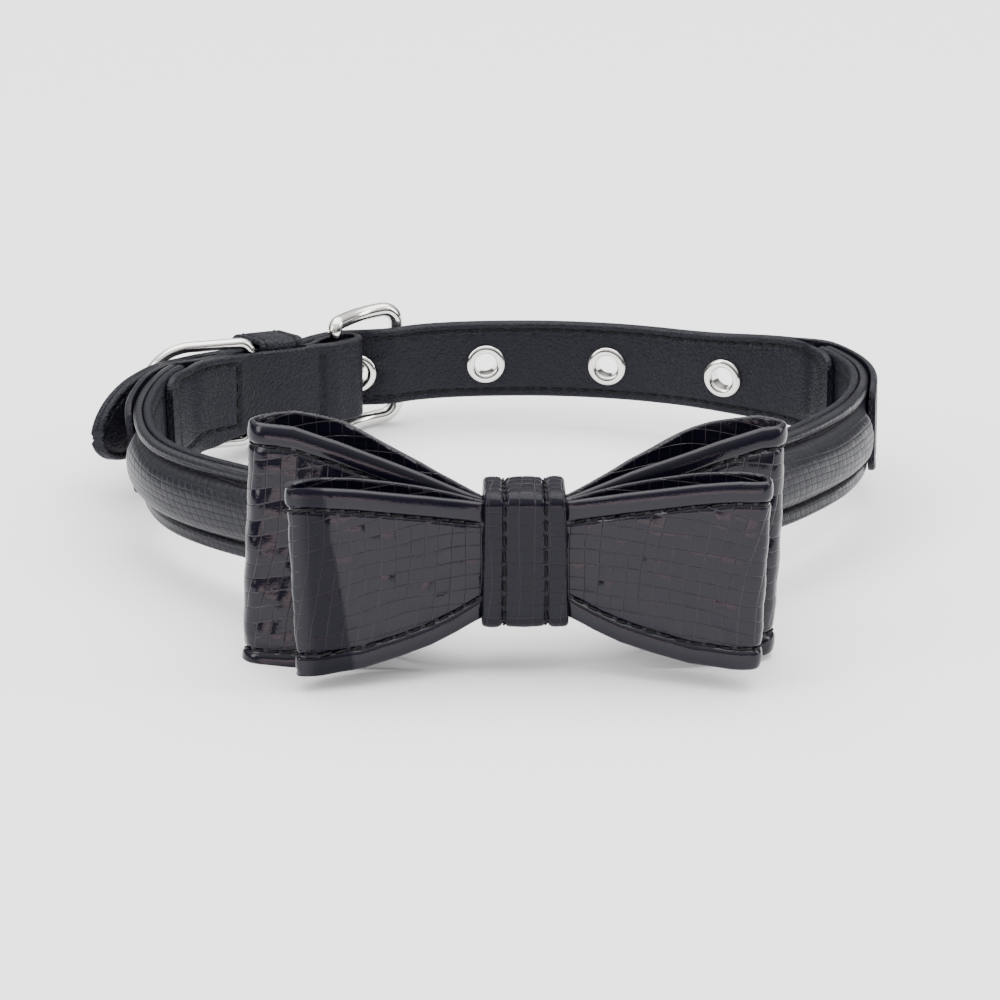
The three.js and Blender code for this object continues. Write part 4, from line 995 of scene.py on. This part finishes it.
def along_line(line, out, closed=True):
    """Stitches at an even pitch along a run of points with outward normals."""
    if closed:
        line, out = np.vstack([line, line[:1]]), np.vstack([out, out[:1]])
    total = np.concatenate([[0], np.cumsum(np.linalg.norm(np.diff(line, axis=0), axis=1))])
    count = int(total[-1] / STITCH_PITCH)
    wanted = (np.arange(count) + 0.5) * total[-1] / count
    here, after, before = (columns_at(line, total, wanted + step) for step in (0, 0.2, -0.2))
    return here, after - before, columns_at(out, total, wanted)


# Metal


def metal(name, points, faces, **settings):
    """Piece of polished nickel."""
    made(name, points, faces, polished_nickel, slot="nickel", **settings)


def buckle_axes():
    """Heel and end of the buckle, and the directions from one to the other and outwards."""
    heel, end = on_loop(HEEL_AT, HEEL_LIFT, 0), on_loop(END_AT, END_LIFT, 0)
    along = (end - heel) / np.linalg.norm(end - heel)
    return heel, end, along, np.array([-along[1], along[0], 0])


def quarter_arc(u, z, radius, quarter):
    """Quarter circle about a corner's centre, the first of them from the lowest u to the lowest z."""
    angle = math.pi + (quarter + np.linspace(0, 1, 9)) * math.pi / 2
    return np.column_stack([u + radius * np.cos(angle), z + radius * np.sin(angle)])


def buckle_frame():
    """Rounded frame of wire, its rails bowed outwards as half a sine, with a thin bar at the heel."""
    heel, end, along, out = buckle_axes()
    reach = np.linalg.norm(end - heel)
    half, thick = (FRAME_HEIGHT - FRAME_WIRE) / 2, FRAME_WIRE / 2
    far, heel_corner = FRAME_CORNER - thick, HEEL_CORNER
    rail = np.linspace(0.2, 0.72, 12)[:, None] * reach
    bar, bar_steps = TAB_WIDTH / 2 + GAP, 14
    flat = np.vstack([
        quarter_arc(heel_corner, heel_corner - half, heel_corner, 0),
        np.hstack([rail, 0 * rail - half]),
        quarter_arc(reach - far, far - half, far, 1),
        np.column_stack([np.full(9, reach), np.linspace(far - half, half - far, 11)[1:-1]]),
        quarter_arc(reach - far, half - far, far, 2),
        np.hstack([rail[::-1], 0 * rail + half]),
        quarter_arc(heel_corner, half - heel_corner, heel_corner, 3),
        np.column_stack([np.zeros(bar_steps), np.linspace(bar, -bar, bar_steps)]),
    ])
    radius = np.full(len(flat), thick)
    radius[-bar_steps:] = HEEL_RADIUS
    bowed = FRAME_CAMBER * np.sin(math.pi * flat[:, :1] / reach)
    points = heel + along * flat[:, :1] + out * bowed + np.array([0, 0, 1]) * flat[:, 1:]
    points, faces = tube(points, radius, 20)
    metal("buckle_frame_wire", points, faces, nodes=["buckle_frame"], sharp=60)


def buckle_prong():
    """Pin that rises through the first eyelet and lies on the end bar, and the coil at its foot."""
    heel, end, along, out = buckle_axes()
    reach = np.linalg.norm(end - heel)
    centre, normal = strap_middle(PRONG_EYELET)
    rest = FRAME_WIRE / 2 + 0.05 + PIN_RADIUS
    inner, outer = HEEL_RADIUS + 0.1, HEEL_RADIUS + GAP + COIL_WALL
    knots = np.array([
        heel + along * (outer - PIN_SUNK) + out * PIN_RISE,
        centre - normal * PIN_RISE + along * PIN_SUNK,
        centre + normal * STRAP_THICK * 0.85 + along * PIN_CROWN,
        heel + along * reach * 0.66 + out * (rest + PIN_CROWN),
        heel + along * (reach + PIN_PAST) + out * rest,
    ])
    ends = np.vstack([2 * knots[:1] - knots[1:2], knots, 2 * knots[-1:] - knots[-2:-1]])
    t = np.linspace(1, 5, 49)
    route = spline(ends, np.minimum(t, 4.9999))
    taper = np.ones(len(route))
    taper[-6:] = np.sqrt(1 - np.linspace(0, 0.97, 6) ** 2)
    points, _ = tube(route, PIN_RADIUS * taper, 16, closed=False)
    metal("prong_pin", points, capped(points.shape[:2]), nodes=["buckle_prong"], sharp=70)
    turn = np.linspace(0, 2 * math.pi, 24, endpoint=False)
    boxy = [np.sign(v) * np.abs(v) ** 0.5 for v in (np.cos(turn), np.sin(turn))]
    middle, wide = (inner + outer) / 2, (outer - inner) / 2
    profile = np.column_stack([middle + wide * boxy[0], COIL_HALF * boxy[1]])
    points, faces = turned_round(profile, heel, np.array([0.0, 0, 1]), 40)
    metal("prong_coil", points, faces)


def strap_middle(at):
    """Middle of the strap's thickness at a place, and the direction square to it there."""
    where = np.array([at - 1, at, at + 1.0])
    spots = on_loop(where, strap_inner(where) + STRAP_THICK / 2, -EYELET_BELOW)
    along = spots[2] - spots[0]
    along /= np.linalg.norm(along)
    normal = np.array([along[1], -along[0], 0])
    return spots[1], normal / np.linalg.norm(normal)


def eyelets():
    """Pressed rings: a domed roll on each face of the strap, joined by a barrel through it."""
    bore, rim = EYELET_HOLE / 2, EYELET_OUTER / 2
    turn = np.linspace(0, math.pi, 13)
    middle, wide = (bore + rim) / 2, (rim - bore) / 2
    face = STRAP_THICK / 2 + 0.03
    dome = np.column_stack([middle + wide * np.cos(turn), face + 0.72 * np.sin(turn) ** 0.75])
    foot = np.array([[bore + EYELET_BARREL, -face], [bore + EYELET_BARREL, face]])
    profile = np.vstack([dome, dome[::-1] * (1, -1), foot])
    for k, at in enumerate(EYELETS):
        centre, normal = strap_middle(at)
        points, faces = turned_round(profile, centre, normal, 56)
        metal(f"eyelet_ring_{k + 1}", points, faces, nodes=[f"eyelet_{k + 1}"], sharp=50)


def lead_ring():
    """D of round wire: a straight bar in the tab, small corners, and half a circle."""
    centre = on_loop(RING_AT, RING_LIFT, 0)
    along = on_loop(RING_AT + 1, RING_LIFT, 0) - centre
    splay = math.radians(-RING_SPLAY)
    along = np.array([
        along[0] * math.cos(splay) - along[1] * math.sin(splay),
        along[0] * math.sin(splay) + along[1] * math.cos(splay), 0,
    ]) / np.linalg.norm(along)
    half, corner = RING_HEIGHT / 2, RING_CORNER
    turn = np.linspace(0, math.pi / 2, 9)[1:]
    bend = np.column_stack([corner * (1 - np.cos(turn)), half - corner + corner * np.sin(turn)])
    straight = np.linspace(corner, RING_REACH - half, 8)[1:-1]
    arm = np.column_stack([straight, np.full(len(straight), half)])
    sweep = np.linspace(math.pi / 2, -math.pi / 2, 33)
    bow = np.column_stack([RING_REACH - half + half * np.cos(sweep), half * np.sin(sweep)])
    bar = np.column_stack([np.zeros(15), np.linspace(corner - half, half - corner, 15)])
    flat = np.vstack([bar, bend, arm, bow, (arm * (1, -1))[::-1], (bend * (1, -1))[::-1]])
    points = centre + along * flat[:, :1] + np.array([0, 0, 1]) * flat[:, 1:]
    points, faces = tube(points, RING_RADIUS, 20)
    metal("lead_ring_wire", points, faces, nodes=["d_ring"], body="d_ring", sharp=60)


# Bow


BOW_PITCH = BOW_WALL + GAP
BOW_WALLS = [FRONT_INSIDE - PANEL_FLAT - PAD_AT_KNOT - GAP - BOW_WALL / 2 - k * BOW_PITCH for k in range(4)]
KNOT_FRONT = BOW_WALLS[3] - BOW_WALL / 2 - GAP


def bow_turned(points):
    """Turns level points about the middle of the knot, which faces and sits a little to one side."""
    angle = math.radians(-BOW_TURN)
    x, y = points[..., 0], points[..., 1] - FRONT_INSIDE
    sine, cosine = math.sin(angle), math.cos(angle)
    turned = np.stack([x * cosine - y * sine, x * sine + y * cosine, points[..., 2]], -1)
    return turned + on_loop(BOW_ASIDE, 0, 0)


def bow_route(size, rows, back_wall, front_wall):
    """Plan of the endless strip: out along the front to the right, round the end and back behind the
    knot, then the same on the left."""
    half = size["width"] / 2 - BOW_WALL / 2
    front = np.column_stack([rows[:, 0] * half, front_wall + rows[:, 1] * size["depth"]])
    back = np.column_stack([rows[:, 0] * half, back_wall + rows[:, 2] * size["depth"]])
    tip = np.array([[half, (front_wall + back_wall) / 2 + rows[-1, 1:].mean() * size["depth"]]])
    right = np.vstack([front, tip, back[:0:-1]])
    left = (right[:0:-1] * (-1, 1))
    return traced(np.vstack([right, back[:1], left]))[0], half


def bow_form(size, half, total, s, x):
    """How far the strip reaches up and down at each place along it, and how open and slack it is."""
    out = (np.abs(x + size["aside"]) - KNOT_WIDTH / 2) / (half - KNOT_WIDTH / 2)
    slow, fast = (np.interp(out, OPENING[:, 0], OPENING[:, k]) for k in (1, 2))
    rear = (1 - np.cos(2 * math.pi * s / total)) / 2
    waist = BOW_WAIST / 2
    upper = slow + (fast - slow) * BOW_REAR_OPEN * rear
    swell = 1 + size["swell"] * x / half
    up = (waist + (size["rise"] - waist) * upper) * swell
    down = (waist + (size["drop"] - waist) * fast) * swell
    return {"up": up, "down": down, "upper": upper, "lower": fast, "slow": slow, "slack": slow * (1 - rear)}


def bow_spot(size, form, half, plan, offset, height):
    """Level place of a point on the strip, from its place in plan, its offset and its height."""
    x, y, tx, ty = plan
    reach = np.where(height > 0, form["up"], form["down"])
    level = np.clip(height / reach, -1, 1)
    opening = np.where(height > 0, form["upper"], form["lower"])
    offset = offset + BOW_BELLY * form["slack"] * (1 - level**2)
    across = x + ty * offset
    aside = size["aside"] + (size["slant"] + size["taper"] * x / half) * opening * level
    deep = y - tx * offset + size["lean"] * form["slow"] * level
    high = height + across * math.tan(math.radians(size["roll"]))
    return bow_turned(np.stack([across + aside, deep, high], -1))


def bow_relief(along, height, inwards, scales, phase):
    """How far a strip's outer face stands out: scales and slow dents between the hems, a hem puffed as
    a power of half a sine, and a sewn groove beside it."""
    hem = HEM_PUFF * np.sin(math.pi * np.clip(inwards / HEM, 0, 1)) ** 0.7
    groove = SEAM_DEEP * np.exp(-(((inwards - HEM) / SEAM_WIDE) ** 2))
    waves = np.sin(0.55 * along + 0.3 * height + phase), np.sin(0.46 * height - 0.2 * along + 1)
    dents = BOW_DENTS * waves[0] * waves[1]
    between = ramp(inwards, HEM, HEM + 0.5)
    return (BOW_RELIEF * (pillows(*scales) - 0.7) + dents) * between + hem - groove


def end_fold(share, height, folded):
    """Crease in a front loop: its depth, how far the leather beyond it turns back, and where that
    leather gets painted shade, as a thinner coat."""
    at = CREASE_AT + CREASE_LEAN * height
    deep = CREASE_DEEP * np.exp(-(((share - at) / CREASE_HALF) ** 2)) * folded
    back = END_TURN * folded * np.clip((share - at) / (1 - at), 0, 1)
    # Painted shade on the turned end, as the share of its coat that is thinned
    end_shade = folded * ramp(share, at, at + 0.02) * (1 - ramp(share, 0.9, 0.97))
    return deep, back, end_shade


def bow_strip(name, size, rows, walls, cad_node, phase):
    """Endless embossed strip, pinched at the knot: it widens by the opening table, bellies out between
    its edges, and has a puffed hem inside each edge with a sewn groove beside it. phase moves its dents
    and scales; a phase above nil also has the crease. Returns its stitches."""
    table, half = bow_route(size, rows, *walls)
    total = table[-1, 0]
    count = round(total / 0.5)
    s = np.arange(count) / count * total
    plan = [np.interp(s, table[:, 0], table[:, k]) for k in (1, 2, 3, 4)]
    form = bow_form(size, half, total, s, plan[0])
    columns = {key: value[:, None] for key, value in form.items()}
    shape = section(BOW_ROWS, 5)
    edge = BOW_WALL / 2 - 0.02
    full = np.full(count, 1.0)
    offset, _ = strip_offsets(shape, -BOW_WALL / 2 * full, BOW_WALL / 2 * full, full, (edge, edge))
    reach = np.where(shape["across"] > 0, columns["up"], columns["down"])
    height = shape["across"] * (reach - edge) + shape["cosine"] * edge
    inwards = reach - np.abs(height)
    from_knot = np.abs(plan[0])[:, None]
    lift = 0.24 * (half - from_knot) - 0.0035 * (half - from_knot) ** 2 + phase
    along = np.where(s < total / 2, s, s - total)[:, None]
    a, b = scale_counts(along, height, BOW_SCALE, -0.12, -lift)
    face = shape["sine"] * ramp(from_knot, KNOT_WIDTH / 2 - 1.5, KNOT_WIDTH / 2 + 2)
    folded = (phase > 0) * (plan[0] < 0)[:, None]
    crease, back, end_shade = end_fold(from_knot / half, height, folded)
    relief = bow_relief(along, height, inwards, (a, b), phase) - crease * ramp(inwards, HEM, HEM + 0.5)
    inside = BOW_RELIEF * (pillows(a + 0.3, b + 0.4) - 0.7)
    offset = offset + np.where(shape["side"] > 0, relief * face, -inside * face)
    offset = offset - back * face
    points = bow_spot(size, columns, half, [value[:, None] for value in plan], offset, height)
    inwards = np.where(shape["side"] > 0, inwards, 3 * HEM)
    # The seam map's second channel carries the turned end's painted shade.
    seam = np.stack([inwards, end_shade + 0 * inwards], -1)
    made(
        name, rest_flat(points), quads(*offset.shape, True), patent, uv=np.stack([a, b], -1), seam=seam,
        nodes=[cad_node], slot="patent_leather", sharp=75,
    )
    runs = []
    for line_height in (form["up"] - HEM, HEM - form["down"]):
        line, outer = (
            bow_spot(size, form, half, plan, BOW_WALL / 2 - sunk, line_height) for sunk in (0.26, -0.74)
        )
        middle, ahead, out = along_line(line, outer - line)
        clear = np.abs(middle[:, 0]) > KNOT_WIDTH / 2 + 1.6
        runs.append((middle[clear], ahead[clear], out[clear]))
    return runs


def rest_flat(points):
    """Keeps points above the surface that the collar rests on, as soft leather gives way to it."""
    lift = np.maximum(0, FLOOR_GAP - settled(points)[..., 2]) * 1000
    return points + lift[..., None] * REST_TURN[2]


def knot():
    """Strip wrapped round the bow and the panel: three puffed pleats with sewn grooves between. Returns
    its stitches."""
    back = FRONT_INSIDE + KNOT_BACK + KNOT_WALL
    front = KNOT_FRONT - KNOT_WALL
    half = KNOT_HEIGHT / 2
    skin = KNOT_WALL / 2
    path, out = rounded_box_path(
        front + skin, skin - half, back - skin, half - skin, KNOT_CORNER - skin, 0.5
    )
    length = np.concatenate([[0], np.cumsum(np.linalg.norm(np.diff(path, axis=0), axis=1))])
    shape = section(46, 5)
    full = np.full(len(path), 1.0)
    edge = skin - 0.02
    offset, x = strip_offsets(shape, -skin * full, skin * full, KNOT_WIDTH / 2 * full, (edge, edge))
    a, b = scale_counts(x, length[:, None], KNOT_SCALE, 0.05, 0.4)
    groove = np.exp(-(((np.abs(x) - KNOT_GROOVE) / KNOT_GROOVE_HALF) ** 2))
    side_middle, side_half = (KNOT_WIDTH / 2 + KNOT_GROOVE) / 2, (KNOT_WIDTH / 2 - KNOT_GROOVE) / 2
    pleat = np.where(np.abs(x) < KNOT_GROOVE, x / KNOT_GROOVE, (np.abs(x) - side_middle) / side_half)
    raised = PLEAT_PUFF * (1 - np.clip(pleat, -1, 1) ** 2) - KNOT_GROOVE_DEEP * groove
    raised += KNOT_RELIEF * (pillows(a, b) - 0.7)
    offset += np.where(shape["side"] > 0, raised * shape["sine"], 0)
    yz = path[:, None] + out[:, None] * offset[..., None]
    swell = 1 + 0.035 * np.clip(-yz[..., 1] / half, -1, 1)
    points = np.stack([x * swell, yz[..., 0], yz[..., 1]], -1)
    made(
        "bow_knot_leather", bow_turned(points), quads(*offset.shape, True), knot_patent,
        uv=np.stack([a, b], -1), seam=no_seam(offset), nodes=["bow_knot"], slot="patent_leather", sharp=75,
    )
    runs = []
    for sign in (-1, 1):
        spot = path + out * (skin - 0.3)
        seam_x = np.full(len(path), sign * KNOT_GROOVE)
        line, outer = (bow_turned(np.column_stack([seam_x, spot + step])) for step in (0, out))
        runs.append(along_line(line, outer - line))
    return runs


def tab_seam_line(inner):
    """The tab's row of stitches on one side, as lengths, offsets and heights, from the ring to the free
    end's two rounded corners and back."""
    free = LEFT_INNER if inner else LEFT_OUTER
    turn = np.linspace(0, math.pi / 2, 7)
    side = tab_half(free) - TAB_SEAM
    bend_from = free - TAB_HEM - SEAM_CORNER
    run = places(TAB_SEAM_NEAR, bend_from, 1)
    at = np.concatenate([run, bend_from + SEAM_CORNER * np.sin(turn[1:])])
    height = np.concatenate([tab_half(run) - TAB_SEAM, side - SEAM_CORNER * (1 - np.cos(turn[1:]))])
    return np.concatenate([at, at[::-1]]), np.concatenate([height, -height[::-1]])


def tab_thread():
    """Stitches of the tab, on the side towards the neck and on the outer side."""
    runs = []
    across = places(-TAB_WIDTH / 2 + TAB_SEAM, TAB_WIDTH / 2 - TAB_SEAM, 1)
    straight = [(np.full(len(across), seam_at), across) for seam_at in (TAB_SEAM_FOLD, TAB_SEAM_NEAR)]
    for inner in (True, False):
        for at, height in [tab_seam_line(inner)] + straight:
            face = THREAD_SUNK - tab_under(at) if inner else tab_outer(at) - THREAD_SUNK
            off = -1 if inner else 1
            line, outer = (on_loop(at, face + step, height) for step in (0, off))
            runs.append(along_line(line, outer - line, closed=False))
    return runs


def collar_thread():
    """Rows of stitches on the panel, the strap and the tab."""
    runs = tab_thread()
    panel = places(-PANEL_LEFT_RUN + 2, PANEL_RIGHT - 2, 1)
    for seam in PAD_SEAMS:
        for offset in (cover_profile(pad_height(panel), seam) - 0.05, 0.1):
            runs.append(stitch_run(panel, offset, seam))
    for sign in (-1, 1):
        for free, face, sunk in (
            (RIGHT_OUTER, outer_high, THREAD_SUNK),
            (RIGHT_INNER, inner_low, -THREAD_SUNK),
        ):
            at = places(free + STRAP_HEM, TONGUE_END - 5, 1)
            height = sign * (strap_half(at) - STRAP_SEAM) + strap_droop(at)
            runs.append(stitch_run(at, face(at) - sunk, height))
    thread("collar_thread", runs)



# Floor, light and camera


def stage():
    """Plain pale floor under the collar."""
    mesh = bpy.data.meshes.new("floor")
    mesh.from_pydata([(-4, -4, 0), (4, -4, 0), (4, 4, 0), (-4, 4, 0)], [], [(0, 1, 2, 3)])
    floor = bpy.data.objects.new("floor", mesh)
    bpy.context.scene.collection.objects.link(floor)
    finish, tree, shader = material("pale_floor")
    plug(tree, shader, {
        "Base Color": (0.98, 0.985, 1, 1), "Roughness": 0.9, "Specular IOR Level": 0.1,
    })
    mesh.materials.append(finish)


def light(name, place, target, size, power, tint=(1, 1, 1)):
    """Square soft light that faces a target."""
    lamp = bpy.data.lights.new(name, "AREA")
    lamp.color = tint
    lamp.shape = "RECTANGLE"
    lamp.size, lamp.size_y = size
    lamp.energy = power
    holder = bpy.data.objects.new(name, lamp)
    holder.location = place
    holder.rotation_euler = (Vector(target) - Vector(place)).to_track_quat("-Z", "Y").to_euler()
    bpy.context.scene.collection.objects.link(holder)


def surroundings():
    """Even grey surround, brighter overhead."""
    world = bpy.data.worlds.new("studio")
    bpy.context.scene.world = world
    world.use_nodes = True
    tree = world.node_tree
    apart = node(tree, "SeparateXYZ", {0: node(tree, "TexCoord").outputs["Generated"]})
    strength = smooth_range(tree, apart.outputs["Z"], 0.05, 0.75, 0.10, 1.5)
    plug(tree, tree.nodes["Background"], {"Color": (1, 1, 1, 1), "Strength": strength})


def camera():
    """Camera at the measured view: its direction is given for the level loop and turned with the rest."""
    rise, side = math.radians(VIEW_RISE), math.radians(VIEW_TURN)
    back = np.array([math.sin(side) * math.cos(rise), -math.cos(side) * math.cos(rise), math.sin(rise)])
    right = np.cross(-back, [0, 0, 1])
    right /= np.linalg.norm(right)
    up = np.cross(right, -back)
    spot = settled(back * VIEW_FAR)
    axes = REST_TURN @ np.column_stack([right, up, back])
    lens = bpy.data.cameras.new("camera")
    lens.sensor_width = SENSOR
    lens.lens = SENSOR * PIXELS_A_MILLIMETRE * VIEW_FAR / 1000
    holder = bpy.data.objects.new("camera", lens)
    holder.matrix_world = Matrix.Translation(spot) @ Matrix(axes.tolist()).to_4x4()
    bpy.context.scene.collection.objects.link(holder)
    bpy.context.scene.camera = holder


lining()
cover()
strap_layer("strap_outer_leather", RIGHT_OUTER, outer_low, outer_high, (0.75, 0.2), ["tongue_strap"], 1)
strap_layer("strap_inner_leather", RIGHT_INNER, inner_low, inner_high, (0.2, 0.75), [], -1)
tab()
keeper_runs = keeper()
buckle_frame()
buckle_prong()
eyelets()
lead_ring()
bow_runs = bow_strip("bow_back_leather", BACK_LOOPS, BACK_ROWS, BOW_WALLS[:2], "bow_back_loops", 0)
bow_runs += bow_strip("bow_front_leather", FRONT_LOOPS, FRONT_ROWS, BOW_WALLS[2:], "bow_front_loops", 1.3)
thread("bow_thread", bow_runs + knot())
thread("keeper_thread", keeper_runs)
collar_thread()
stage()
surroundings()
light("overhead", (0.05, 0.15, 1.1), (0, 0, 0), (1.6, 1.3), 26)
light("left", (-1.2, -0.5, 0.7), (0, 0, 0), (0.5, 0.9), 9)
light("right", (1.2, -0.2, 0.6), (0, 0, 0), (0.4, 0.9), 7)
light("warm card", (-0.1, -0.6, 0.06), (0, 0, 0.02), (0.8, 0.09), 1.0, (1, 0.78, 0.8))
camera()
